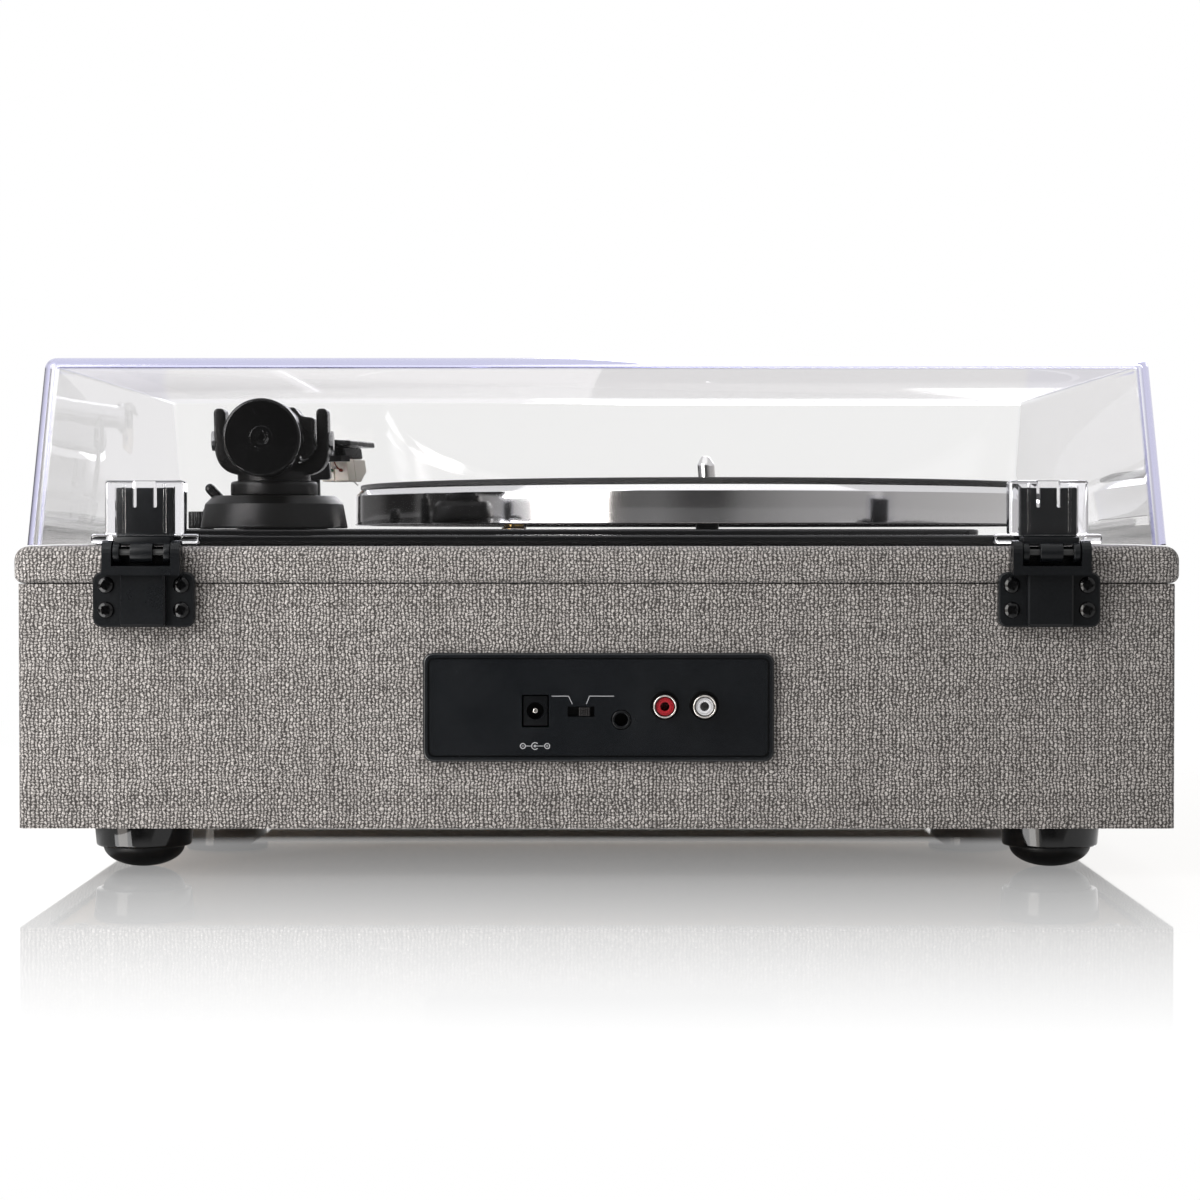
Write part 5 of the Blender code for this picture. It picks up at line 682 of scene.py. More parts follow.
# %% [markdown]
# ## Feet
# Each foot is a glossy cup with a rubber dome pushed into it. The cup and the dome are two
# turned profiles, because their finishes differ: the cup mirrors the floor, the dome doesn't.

# %% Feet
FOOT_RIM_Z, DOME_RADIUS = 0.0078, 0.0149
cup_gloss = moulded_plastic("cup_gloss", (0.0030, 0.0030, 0.0034), 0.06, 900.0, 5e-7, shine=0.38)
dome_rubber = moulded_plastic("dome_rubber", (0.0030, 0.0030, 0.0032), 0.42, 3000.0, 1e-5)
turns = [pi / 2 * k / 14 for k in range(14)]
bowl = [(DOME_RADIUS * cos(turn), FOOT_RIM_Z * (1 - sin(turn))) for turn in turns]
for corner in ("back_left", "back_right", "front_left", "front_right"):
    low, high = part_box("foot_" + corner)
    middle = (Vector(low) + Vector(high)) / 2
    place = (middle.x, middle.y, 0)
    cup = turned([(0, high[2]), (0.0185, high[2], 0.0012), (0.0174, FOOT_RIM_Z, 0.0014),
                  (0.0154, FOOT_RIM_Z, 0.0004), (0.0152, FOOT_RIM_Z + 0.0012), (0, FOOT_RIM_Z + 0.0012)],
                 place, steps=72)
    finish_piece("foot_cup_" + corner, cup, cup_gloss, "cabinet", "foot_rubber", "foot_" + corner)
    dome = turned([(0, FOOT_RIM_Z + 0.001), (DOME_RADIUS, FOOT_RIM_Z + 0.001), *bowl, (0, 0)], place,
                  steps=72)
    finish_piece("foot_dome_" + corner, dome, dome_rubber, "cabinet", "foot_rubber")

# %% [markdown]
# ## Connector panel
# A moulded frame with a raised, rounded rim sits over a cut-out in the back wall. The plate
# is pushed out of its outline. The sunk field, a narrow groove round it and the windows are
# cut by shapes of their own size plus a little air. A skirt and two posts go into the cabinet.

# %% Panel
PANEL_X, PANEL_Z, PANEL_HALF_WIDTH, PANEL_HALF_HEIGHT = -0.0007, 0.0610, 0.06225, 0.01935
PANEL_BACK_Y, PANEL_FACE_Y, FIELD_Y = 0.169975, 0.172375, 0.171775
JACK_BACK_Y, INNER_Y = 0.156175, 0.170075
DC_X, DC_Z = 0.0217, 0.0597
SWITCH_X, SWITCH_Z = 0.0055, 0.0595
AUX_X, AUX_Z = -0.0088, 0.0566
RCA_PLACES = {"red": -0.0241, "white": -0.0381}
RCA_Z = 0.0617
SIDES = {"left": -1, "right": 1}
panel_black = moulded_plastic("panel_plastic", (0.0, 0.0004, 0.0014), 0.22, 1900.0, 1.2e-5,
                              (0.0072, 0.0088, 0.0104), 1500.0, 0.42)


def panel_plate(inset, corner, near_y, far_y, edge=0.0, segments=3):
    """A plate as large as the panel, less an inset on each side."""
    wide, tall = PANEL_HALF_WIDTH - inset, PANEL_HALF_HEIGHT - inset
    outline = box_outline(PANEL_X - wide, PANEL_Z - tall, PANEL_X + wide, PANEL_Z + tall, corner)
    return plate(outline, near_y, far_y, "Y", edge, segments)


groove = less(panel_plate(0.00168, 0.0026, FIELD_Y - 0.0012, 0.175),
              panel_plate(0.0023, 0.0022, FIELD_Y - 0.0014, 0.176))
panel = less(panel_plate(0, 0.0042, PANEL_BACK_Y, PANEL_FACE_Y, 0.0009, 6),
             panel_plate(0.0017, 0.0026, FIELD_Y, 0.175), groove)
half_x, half_z = PANEL_HALF_WIDTH - 0.0042, PANEL_HALF_HEIGHT - 0.0042
skirt = less(slab(PANEL_X, PANEL_Z, half_x, half_z, 0.161175, 0.1702),
             slab(PANEL_X, PANEL_Z, half_x - 0.0016, half_z - 0.0016, 0.1600, 0.1800))
posts = [disc(PANEL_X + side * 0.05, PANEL_Z, 0.002, JACK_BACK_Y, 0.1702, steps=24)
         for side in SIDES.values()]
panel = plus(panel, skirt, together(*posts))
windows = [slab(DC_X, DC_Z, 0.0048, 0.0058, 0.165, 0.175, 0.0004),
           slab(SWITCH_X, SWITCH_Z, 0.00475, 0.0018, 0.165, 0.175), disc(AUX_X, AUX_Z, 0.0036, 0.165, 0.175)]
windows += [disc(x, RCA_Z, 0.0045, 0.165, 0.175) for x in RCA_PLACES.values()]
finish_piece("connector_frame", less(panel, together(*windows)), panel_black, "cabinet", "panel_plastic",
             "connector_panel", sharp=32)

# %% [markdown]
# The print on the panel is ink a few hundredths of a millimetre thick: two leader lines from
# the switch, and the usual sign for a centre-positive plug. Thin raised strips hold their
# edges at any distance, which a texture wouldn't.

# %% Printed lines
SIGN_X, SIGN_Z = 0.0218, 0.0473
INK_LOW, INK_HIGH = FIELD_Y - 0.0001, FIELD_Y + 0.00006
ink = fibrous("panel_ink", (0.36, 0.36, 0.37), 0.55, (0.26, 0.26, 0.27), (0.46, 0.46, 0.47), 4000.0, 3.0)


def ink_stroke(start, end, width=0.00024):
    start, end = Vector(start), Vector(end)
    side = (end - start).normalized().orthogonal() * width / 2
    return plate([start + side, start - side, end - side, end + side], INK_LOW, INK_HIGH, "Y")


def sign_stroke(start, end, width=0.0002):
    """A level stroke of the sign, between two distances from its middle."""
    return ink_stroke((SIGN_X + start, SIGN_Z), (SIGN_X + end, SIGN_Z), width)


def ink_ring(x, radius, width=0.0003, opening=0.0):
    """A ring of the sign, or a C that opens towards -X by an angle in radians."""
    turn = [pi + opening + (2 * pi - 2 * opening) * k / 32 for k in range(33)]
    outside = [(x + radius * cos(a), SIGN_Z + radius * sin(a)) for a in turn]
    inside = [(x + (radius - width) * cos(a), SIGN_Z + (radius - width) * sin(a)) for a in reversed(turn)]
    if not opening:
        return less(plate(outside[:-1], INK_LOW, INK_HIGH, "Y"),
                    plate(inside[:-1], INK_LOW - 0.0001, INK_HIGH + 0.0002, "Y"))
    return plate(outside + inside, INK_LOW, INK_HIGH, "Y")


strokes = [ink_stroke((0.0159, 0.0650), (0.0099, 0.0650)), ink_stroke((0.0099, 0.0650), (0.0086, 0.0622)),
           ink_stroke((-0.0062, 0.0650), (0.0025, 0.0650)), ink_stroke((0.0025, 0.0650), (0.0036, 0.0622)),
           ink_ring(SIGN_X + 0.0043, 0.00105), sign_stroke(0.0047, 0.0039),
           sign_stroke(0.0033, 0.0014, 0.00022), ink_ring(SIGN_X, 0.00135, opening=0.7),
           disc(SIGN_X, SIGN_Z, 0.00045, INK_LOW, INK_HIGH, steps=20), sign_stroke(0, -0.0033, 0.00022),
           ink_ring(SIGN_X - 0.0043, 0.00105), sign_stroke(-0.0047, -0.0039),
           ink_stroke((SIGN_X - 0.0043, SIGN_Z - 0.0004), (SIGN_X - 0.0043, SIGN_Z + 0.0004), 0.0002)]
finish_piece("panel_print", together(*strokes), ink, "cabinet", "panel_plastic")

# %% [markdown]
# ## Sockets
# A power socket with its centre pin, a small round audio socket, and two bright sleeves with
# red and white inserts. The bright parts are thin-walled, so each sleeve is turned with a
# rolled lip and a bore that shows the insert set back inside it.

# %% Sockets
plated = turned_metal("plated_metal", (0.60, 0.57, 0.54), 0.20, depth=2e-6)
socket_black = moulded_plastic("socket_plastic", (0.0018, 0.0022, 0.0028), 0.30, depth=1e-5)
dc_place, aux_place = (DC_X, 0, DC_Z), (AUX_X, 0, AUX_Z)
dc_hole = turned([(0, 0.161075), (0.00295, 0.161075), (0.00295, 0.1702), (0.0033, 0.1712), (0, 0.1712)],
                 dc_place, "Y", 48)
finish_piece("power_socket", less(slab(DC_X, DC_Z, 0.0045, 0.0055, JACK_BACK_Y, 0.170575, 0.0004), dc_hole),
             socket_black, "cabinet", "jack_plastic", "dc_jack")
pin = turned([(0, 0.1605), (0.001, 0.1605), (0.001, 0.169575, 0.0005), (0, 0.169575)], dc_place, "Y", 32)
finish_piece("power_pin", pin, plated, "cabinet", "socket_metal")
aux = turned([(0.00225, 0.161275), (0.00225, 0.1717, 0.0002), (0.0026, 0.17215, 0.0002),
              (0.0033, 0.17205, 0.0003), (0.0033, 0.1700), (0.0026, 0.1700), (0.0026, 0.161275),
              (0.00225, 0.161275)], aux_place, "Y", 48)
aux_body = less(slab(AUX_X, AUX_Z, 0.0045, 0.0045, JACK_BACK_Y, INNER_Y, 0.0004),
                drum(0.0027, 0.1605, 0.175, aux_place, "Y", 48))
finish_piece("audio_socket", together(aux, aux_body), socket_black, "cabinet", "jack_plastic", "aux_jack")

# %% Two colour-coded sleeves
INSERT_COLOURS = {"red": ((0.27, 0.010, 0.016), 0.34), "white": ((0.50, 0.50, 0.51), 0.36)}
SLEEVE_TIP_Y = FIELD_Y + 0.0085
# A near-black with almost no shine, for the ring of painted shade round the foot of each sleeve.
sleeve_shade_black = moulded_plastic("sleeve_shade_black", (0.0006, 0.0006, 0.0007), 0.40, shine=0.06)
for colour, x in RCA_PLACES.items():
    place = (x, 0, RCA_Z)
    sleeve = turned([(0.00355, 0.170375), (0.00405, 0.170375), (0.00405, SLEEVE_TIP_Y, 0.00025),
                     (0.00355, SLEEVE_TIP_Y, 0.00025), (0.00355, 0.170375)], place, "Y", 72)
    finish_piece("sleeve_" + colour, sleeve, plated, "cabinet", "socket_metal", "rca_shell_" + colour)
    # Over the sleeve's metal flange lies a black ring with hardly any shine: painted shade cast by the sleeve
    # onto the panel.
    sleeve_shade_ring = turned([(0.0042, 0.17185), (0.0052, 0.17185, 0.0001), (0.0052, 0.17235, 0.0002),
                     (0.0042, 0.17245, 0.0001), (0.0042, 0.17185)], place, "Y", 72)
    finish_piece("washer_" + colour, sleeve_shade_ring, sleeve_shade_black, "cabinet", "socket_metal")
    face = SLEEVE_TIP_Y - 0.0007
    insert = turned([(0.0016, 0.1704), (0.0016, face, 0.00025), (0.0024, face, 0.0001),
                     (0.0025, face - 0.0003), (0.0031, face - 0.0003, 0.0002), (0.00325, face - 0.0009),
                     (0.00325, 0.169075), (0, 0.169075), (0, 0.1704), (0.0016, 0.1704)], place, "Y", 64)
    insert = together(insert, slab(x, RCA_Z, 0.0065, 0.0065, JACK_BACK_Y, 0.16907, 0.0004))
    insert_paint = moulded_plastic(colour + "_insert", *INSERT_COLOURS[colour], 1500.0, 6e-6)
    finish_piece("insert_" + colour, insert, insert_paint, "cabinet", "socket_" + colour,
                 "rca_jack_" + colour)

# %% [markdown]
# The slide switch is a ribbed thumb piece in a slot. Five rounded ribs stand across a small
# block, and a dark well shows on the side that the thumb piece has left.

# %% Slide switch
RIBS = 5
well = less(slab(SWITCH_X, SWITCH_Z, 0.0075, 0.004, JACK_BACK_Y, INNER_Y, 0.0003),
            slab(SWITCH_X, SWITCH_Z, 0.00475, 0.0018, 0.167075, 0.175))
finish_piece("switch_well", well, socket_black, "cabinet", "jack_plastic", "switch_body")
low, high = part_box("switch_slider")
rib_step = (high[0] - low[0]) / RIBS
thumb = [block(low, (high[0], high[1] - 0.0003, high[2]), 0.0002, 2)]
thumb += [block((low[0] + rib_step * (k + 0.2), high[1] - 0.0006, low[2] + 0.00005),
                (low[0] + rib_step * (k + 0.8), high[1], high[2] - 0.00005), 0.00012, 2) for k in range(RIBS)]
slider_black = moulded_plastic("thumb_plastic", (0.013, 0.012, 0.012), 0.32, depth=8e-6)
finish_piece("thumb_piece", together(*thumb), slider_black, "slider", "slider_plastic", "switch_slider")

# %% [markdown]
# Behind the panel sits a small green board that carries the sockets. It only shows when the
# cabinet is opened, but it still gets a board's finish: green lacquer over copper tracks.
#
# Behind the front cloth two speakers look out. They only show with the cabinet open too, so
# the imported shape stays, and gets the dull black of pressed paper and painted steel.

# %% Circuit board and speakers
lacquer, shader, place = new_paint("board_lacquer", (0.03, 0.16, 0.07), 0.35)
track = add_node(place.tree, "TexBrick", {"Scale": 240.0, "Vector": placed(place, turn=(radians(90), 0, 0))})
feed(shader["Base Color"], mixed_colour(Wire(track.outputs["Fac"]), (0.02, 0.13, 0.06), (0.06, 0.24, 0.10)))
repaint(lacquer, "circuit_board")
repaint(fibrous("speaker_paper", (0.014, 0.013, 0.013), 0.75, (0.008, 0.008, 0.008), (0.026, 0.024, 0.023),
                900.0, 5.0, 0.7, 0.00008), "speaker_left", "speaker_right")

# %% [markdown]
# ## Screws and hinges
# One screw serves for all: a domed head with a cross cut into it. The cross is two crossed
# blocks, sunk into the head before it is turned to face the way the screw goes in.

# %% Cross-headed screws
def cross_screw(place, facing, radius=0.003, rise=0.0016, turn=0.3):
    head = turned([(0, rise), (radius * 0.55, rise * 0.93, radius * 0.3),
                   (radius * 0.93, rise * 0.55, radius * 0.25), (radius, 0, radius * 0.03),
                   (radius * 0.46, 0), (radius * 0.46, -0.006), (0, -0.0065)], steps=40)
    cross = [block((-radius * a, -radius * b, rise * 0.35), (radius * a, radius * b, rise * 1.5))
             for a, b in ((0.62, 0.13), (0.13, 0.62))]
    head = less(head, plus(*cross))
    way = Matrix.Translation(place) @ Vector(facing).to_track_quat("Z", "Y").to_matrix().to_4x4()
    bmesh.ops.transform(head, matrix=way @ Matrix.Rotation(turn, 4, "Z"), verts=head.verts)
    return head


HINGE_X, HINGE_AXIS_Y, HINGE_AXIS_Z = 0.160, 0.177675, 0.1158
screw_black = turned_metal("screw_black", (0.0022, 0.0022, 0.0025), 0.07, depth=5e-7, metallic=0.0,
                           specular_ior_level=0.24)
hinge_black = moulded_plastic("hinge_plastic", (0.0008, 0.0012, 0.0018), 0.30, depth=1.2e-5,
                              pale=(0.0080, 0.0088, 0.0100), mottle=1100.0)
pin_steel = turned_metal("pin_steel", (0.045, 0.045, 0.045), 0.40, (0, HINGE_AXIS_Y, HINGE_AXIS_Z),
                         (0, radians(90), 0))
for word, side in SIDES.items():
    spots = [(side * HINGE_X + across * 0.0133, 0.174675, 0.1 + up * 0.0044)
             for across in (-1, 1) for up in (-1, 1)]
    screws = [cross_screw(spot, (0, 1, 0), turn=0.4 + count) for count, spot in enumerate(spots)]
    finish_piece("hinge_screws_" + word, together(*screws), screw_black, "cabinet", "hinge_plastic")
panel_low_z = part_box("bottom_panel")[0][2]
spots = [(x * 0.1865, -0.005325 + y * 0.156, panel_low_z) for x in (-1, 1) for y in (-1, 1)]
bottom_screws = [cross_screw(spot, (0, 0, -1), 0.0032, 0.0014, count) for count, spot in enumerate(spots)]

# %% [markdown]
# Each hinge has a bracket on the cabinet, and a leaf on the cover: a plate with two slots, a
# web that bends round, and three knuckles on the steel pin.

# %% Hinges
repaint(hinge_black, "hinge_bracket_left", "hinge_bracket_right")
for word, side in SIDES.items():
    back = block((side * HINGE_X - 0.0135, 0.1716, 0.1098), (side * HINGE_X + 0.0135, 0.1722, 0.1180), 0.0002,
                 2)
    finish_piece("hinge_back_" + word, back, hinge_black, "cabinet", "hinge_plastic")
for word, side in SIDES.items():
    x = side * HINGE_X
    place = (x, HINGE_AXIS_Y, HINGE_AXIS_Z)
    knuckles = [turned([(0, low), (0.0036, low, 0.0003), (0.0036, high, 0.0003), (0, high)], place, "X", 40)
                for low, high in ((-0.0101, -0.0078), (-0.0040, 0.0040), (0.0078, 0.0101))]
    leaf = block((x - 0.0101, HINGE_AXIS_Y - 0.0097, 0.1187), (x + 0.0101, HINGE_AXIS_Y - 0.0071, 0.1388),
                 0.0005, 3)
    web = block((x - 0.0100, HINGE_AXIS_Y - 0.0090, 0.1187), (x + 0.0100, HINGE_AXIS_Y + 0.0004, 0.1214),
                0.0004, 2)
    leaf = plus(leaf, web, *knuckles)
    for middle in (x + way * 0.0036 for way in (-1, 1)):
        slot = eased([(middle - 0.0007, 0.1318, 0.0007), (middle + 0.0007, 0.1318, 0.0007),
                      (middle + 0.0007, 0.1400), (middle - 0.0007, 0.1400)], steps=6)
        leaf = less(leaf, plate(slot, HINGE_AXIS_Y - 0.012, HINGE_AXIS_Y - 0.005, "Y"))
    leaf = less(leaf, drum(0.0018, -0.02, 0.02, place, "X", 24))
    finish_piece("leaf_" + word, leaf, hinge_black, "lid", "hinge_plastic", "hinge_leaf_" + word)
repaint(pin_steel, "hinge_pin_left", "hinge_pin_right")
finish_piece("bottom_screws", together(*bottom_screws), screw_black, "cabinet", "foot_rubber")

# %% [markdown]
# ## Dust cover
# The cover is one clear moulding: five sides that lean in a little, 3 mm thick, with two
# pockets on the back for the hinge tabs. A tapered box with rounded edges has a smaller one
# cut out of it. Light should pass through it freely, so shadow, diffuse and mirror rays skip
# the plastic, and so do rays that have already bent many times. Only the eye sees its bending
# and its gloss. The plastic swallows a little red and green on the way, which shows as lilac
# where the eye looks along a wall. Most of it shows in the rims at the back, so the material
# deepens the tint there.

# %% Clear plastic
MOST_BENDS = 9.5
clear, shader, place = new_paint("clear_cover", (0.985, 0.985, 0.99), 0.02, ior=1.47, transmission_weight=1.0)
tree = place.tree
feed(shader["Roughness"], noise(place, 30.0, 5.0, 0.65) * 0.03)
_, mirrored, path = rays_of(tree)
kinds = ("Is Shadow Ray", "Is Diffuse Ray", "Ray Depth")
shadow, diffuse, depth = (Wire(path.outputs[kind]) for kind in kinds)
free = shadow.most(diffuse).most(mirrored).most(depth.math("GREATER_THAN", MOST_BENDS))
see_through = add_node(tree, "BsdfTransparent", {"Color": (0.95, 0.95, 0.96)})
lilac = add_node(tree, "VolumeAbsorption", {"Color": (0.62, 0.62, 0.90), "Density": 9.0})
x, y, z = split(place)
leaned = z.math("MULTIPLY_ADD", 0.088, x.math("ABSOLUTE"))
at_rim = soft_step(z, 0.1808, 0.1826).most(soft_step(leaned, 0.2092, 0.2110)) * soft_step(y, 0.145, 0.155)
feed(shader["Base Color"], mixed_colour(at_rim, (1.0, 0.998, 0.988), (0.42, 0.42, 0.68)))
output = tree.nodes["Material Output"].inputs
feed(output["Surface"], Wire(mixed_shader(free, tree.nodes["Principled BSDF"], see_through).outputs[0]))
feed(output["Volume"], Wire(lilac.outputs[0]))

# %% Cover shell
LID_LOW_Z, LID_HIGH_Z, LID_WALL = 0.1184, 0.1855, 0.003
LID_HALF_X, LID_HALF_Y, LID_MIDDLE_Y, LID_DRAFT = 0.2036, 0.170, -0.005325, 0.0059


def tapered_box(half_x, half_y, low_z, high_z, draft, corner, top_round):
    """A box that leans in, with rounded uprights and a rounded top rim."""
    bm = block((-half_x, LID_MIDDLE_Y - half_y, low_z), (half_x, LID_MIDDLE_Y + half_y, high_z))
    for vert in [v for v in bm.verts if v.co.z > low_z + 0.01]:
        vert.co.x -= draft if vert.co.x > 0 else -draft
        vert.co.y -= draft if vert.co.y > LID_MIDDLE_Y else -draft
    uprights = [e for e in bm.edges if abs(e.verts[0].co.z - e.verts[1].co.z) > 0.01]
    rounded(bm, uprights, corner, 8, clamp=False)
    rounded(bm, rim_edges(bm, high_z), top_round, 6, clamp=False)
    return bm


cover = less(tapered_box(LID_HALF_X, LID_HALF_Y, LID_LOW_Z, LID_HIGH_Z, LID_DRAFT, 0.005, 0.0036),
             tapered_box(LID_HALF_X - LID_WALL, LID_HALF_Y - LID_WALL, LID_LOW_Z - 0.0001,
                         LID_HIGH_Z - LID_WALL, LID_DRAFT * 0.95, 0.003, 0.0012))

# %% [markdown]
# A pocket is a block with a hollow for the hinge tab and a window through its top edge. Two
# ribs run down its back, and a foot at each side joins it to the wall.

# %% Hinge pockets on the cover
POCKET_BACK_Y = 0.172475
for x in (-HINGE_X, HINGE_X):
    shell = block((x - 0.014, POCKET_BACK_Y - 0.0104, 0.1219), (x + 0.014, POCKET_BACK_Y, 0.1414), 0.0012, 4)
    hollow = block((x - 0.01045, POCKET_BACK_Y - 0.0048, 0.1200),
                   (x + 0.01045, POCKET_BACK_Y - 0.0016, 0.1391))
    window = block((x - 0.0040, POCKET_BACK_Y - 0.0050, 0.1385), (x + 0.0040, POCKET_BACK_Y + 0.001, 0.1430))
    shell = less(shell, hollow, window)
    for way in (-1, 1):
        rib_x, inner, outer = x + way * 0.0072, x + way * 0.0125, x + way * 0.019
        rib = block((rib_x - 0.0006, POCKET_BACK_Y - 0.0008, 0.1228),
                    (rib_x + 0.0006, POCKET_BACK_Y + 0.0005, 0.1404), 0.0004, 3)
        foot = block((min(inner, outer), POCKET_BACK_Y - 0.0104, 0.1189),
                     (max(inner, outer), POCKET_BACK_Y, 0.1224), 0.0012, 4)
        shell = plus(shell, rib, foot)
    cover = plus(cover, shell)
finish_piece("clear_cover_shell", cover, clear, "lid", "clear_plastic", "dust_cover", sharp=30)

# %% [markdown]
# ## Deck
# The deck is one gloss black moulding: a thin tray with a raised field. Its openings are the
# ones that the arm, the spindle, the pulley and the knobs need. The outline is pushed up
# and its rims are rounded before the holes are cut, so the holes keep a crisp edge.

# %% Deck
deck_low, deck_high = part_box("deck_plate")
TRAY_HIGH_Z, FIELD_HIGH_Z = 0.1220, 0.1242
SPINDLE_X, SPINDLE_Y = -0.0456, -0.006325
PULLEY_X, PULLEY_Y = 0.0322, 0.074675
ARM_X, ARM_Y, ARM_Z = 0.121, 0.109675, 0.1572
REST_Y = -0.030325
KNOB_PLACES = {"speed": (0.1585, 0.022675), "volume": (0.158, -0.126325)}
MOTOR_SCREWS = [(PULLEY_X - 0.024, -1), (PULLEY_X + 0.024, 1)]
tray = plate(box_outline(*deck_low[:2], *deck_high[:2], 0.014, 14), deck_low[2], TRAY_HIGH_Z, edge=0.0009)
field = plate(box_outline(-0.140, deck_low[1] + 0.006, 0.178, deck_high[1] - 0.006, 0.008, 14),
              deck_low[2] + 0.001, FIELD_HIGH_Z, edge=0.0009)
openings = [(SPINDLE_X, SPINDLE_Y, 0.00505), (PULLEY_X, PULLEY_Y, 0.009), (ARM_X, ARM_Y, 0.0123),
            (ARM_X, ARM_Y - 0.0345, 0.0039), (ARM_X, REST_Y, 0.0035)]
openings += [(*place, 0.0034) for place in KNOB_PLACES.values()]
openings += [(x, PULLEY_Y, 0.0033) for x, _ in MOTOR_SCREWS]
deck = less(plus(tray, field), together(*[disc(x, y, r, 0.11, 0.13, "Z", 40) for x, y, r in openings]))
deck_gloss = smeared("deck_gloss", (0.004, 0.004, 0.0044), 0.14, 16.0, 5.0, 0.12, 0.06, 900.0)
finish_piece("deck_moulding", deck, deck_gloss, "cabinet", "deck_plastic", "deck_plate", sharp=32)
deck_screws = [cross_screw((x, PULLEY_Y, FIELD_HIGH_Z - 0.0016), (0, 0, 1), 0.003, 0.0015, turn)
               for x, turn in MOTOR_SCREWS]
finish_piece("motor_screws", together(*deck_screws), screw_black, "cabinet", "deck_plastic")

# %% [markdown]
# ## Platter, mat and spindle
# The platter is cast and then turned: a polished rim with a bright chamfer, open underneath,
# with the ring that the belt drives. Only a profile with every wall in it gives the right
# reflections when the turntable is seen from low down.

# %% Platter
PLATTER_LOW_Z, PLATTER_HIGH_Z, PLATTER_RADIUS = 0.126, 0.141, 0.146
spin_place = (SPINDLE_X, SPINDLE_Y, 0)
polished = turned_metal("polished_aluminium", (0.78, 0.775, 0.77), 0.08, spin_place, rings=2600.0, depth=5e-8)
platter = turned([(0.00385, PLATTER_HIGH_Z), (0.1435, PLATTER_HIGH_Z, 0.0004),
                  (PLATTER_RADIUS, PLATTER_HIGH_Z - 0.0025, 0.0006), (PLATTER_RADIUS, PLATTER_LOW_Z, 0.0007),
                  (0.141, PLATTER_LOW_Z, 0.0005), (0.141, 0.1368, 0.002), (0.101, 0.1368, 0.001),
                  (0.101, 0.1272, 0.0004), (0.098, 0.1272, 0.0004), (0.098, 0.1368, 0.001),
                  (0.014, 0.1368, 0.001), (0.014, 0.130, 0.0004), (0.00385, 0.130),
                  (0.00385, PLATTER_HIGH_Z)], spin_place, steps=256)
finish_piece("turned_platter", platter, polished, "turning_platter", "platter_metal", "platter", sharp=30)

# %% Felt mat
felt, shader, place = new_paint("mat_felt", (0.018, 0.018, 0.019), 0.95, sheen_weight=0.5,
                                sheen_roughness=0.4)
fuzz = noise(place, 2600.0, 5.0, 0.75)
clumps = noise(place, 320.0, 4.0, 0.6)
feed(shader["Base Color"], mixed_colour(clumps * 0.6 + fuzz * 0.4, (0.006, 0.006, 0.006),
                                        (0.042, 0.041, 0.040)))
bump(shader, fuzz, 0.00015)
mat = turned([(0.0042, 0.1413), (0.1436, 0.1413, 0.0006), (0.1436, 0.1433, 0.0008), (0.0042, 0.1433, 0.0003),
              (0.0042, 0.1413)], spin_place, steps=256)
finish_piece("felt_mat", mat, felt, "turning_platter", "mat_felt", "mat")

# %% [markdown]
# The spindle has a soft bullet tip and runs down through the hub into its bearing.

# %% Spindle and bearing
spindle = turned([(0, 0.1552), (0.0016, 0.1552, 0.0012), (0.00355, 0.1520, 0.0022), (0.00355, 0.1297, 0.0002),
                  (0.0075, 0.1297, 0.0003), (0.0075, 0.1277, 0.0003), (0.0025, 0.1277),
                  (0.0025, 0.0933, 0.0008), (0, 0.0933)], spin_place, steps=72)
finish_piece("centre_pin", spindle, turned_metal("spindle_steel", (0.72, 0.71, 0.70), 0.14, spin_place),
             "turning_platter", "spindle_steel", "spindle")
repaint(turned_metal("bearing_black", (0.03, 0.03, 0.032), 0.35, spin_place, metallic=0.0), "bearing_housing")

# %% [markdown]
# ## Motor, pulley and belt
# The motor hangs under the deck. Its pulley comes up through the deck beside the platter, and
# a flat rubber belt runs from it round the ring inside the platter.

# %% Motor drive
pulley_place = (PULLEY_X, PULLEY_Y, 0)
repaint(turned_metal("motor_can", (0.55, 0.55, 0.54), 0.32, pulley_place), "motor", "motor_bracket",
        "arm_base_nut", "speed_control", "volume_control")
pulley = turned([(0.0021, 0.1356), (0.0048, 0.1356, 0.0004), (0.0048, 0.1342, 0.0003),
                 (0.0036, 0.1340, 0.0003), (0.0039, 0.1300, 0.0020), (0.0036, 0.1252, 0.0003),
                 (0.0048, 0.1250, 0.0003), (0.0048, 0.1236, 0.0004), (0.0021, 0.1236), (0.0021, 0.1356)],
                pulley_place, steps=64)
brass = turned_metal("turned_brass", (0.72, 0.50, 0.20), 0.20, pulley_place, rings=9000.0)
finish_piece("belt_pulley", pulley, brass, "motor_rotor", "pulley_brass", "motor_pulley")
repaint(turned_metal("shaft_steel", (0.66, 0.65, 0.64), 0.18, pulley_place), "motor_shaft")
repaint(moulded_plastic("belt_rubber", (0.0059, 0.0059, 0.0059), 0.55, 5000.0, 1e-5), "drive_belt")

# %% [markdown]
# ## Arm base, collar and yoke
# The arm stands on a cone with a bevelled top, then a collar with a soft upper rim, then a
# short oval neck. All three are turned shapes. The cone has a slot for the cue lever.

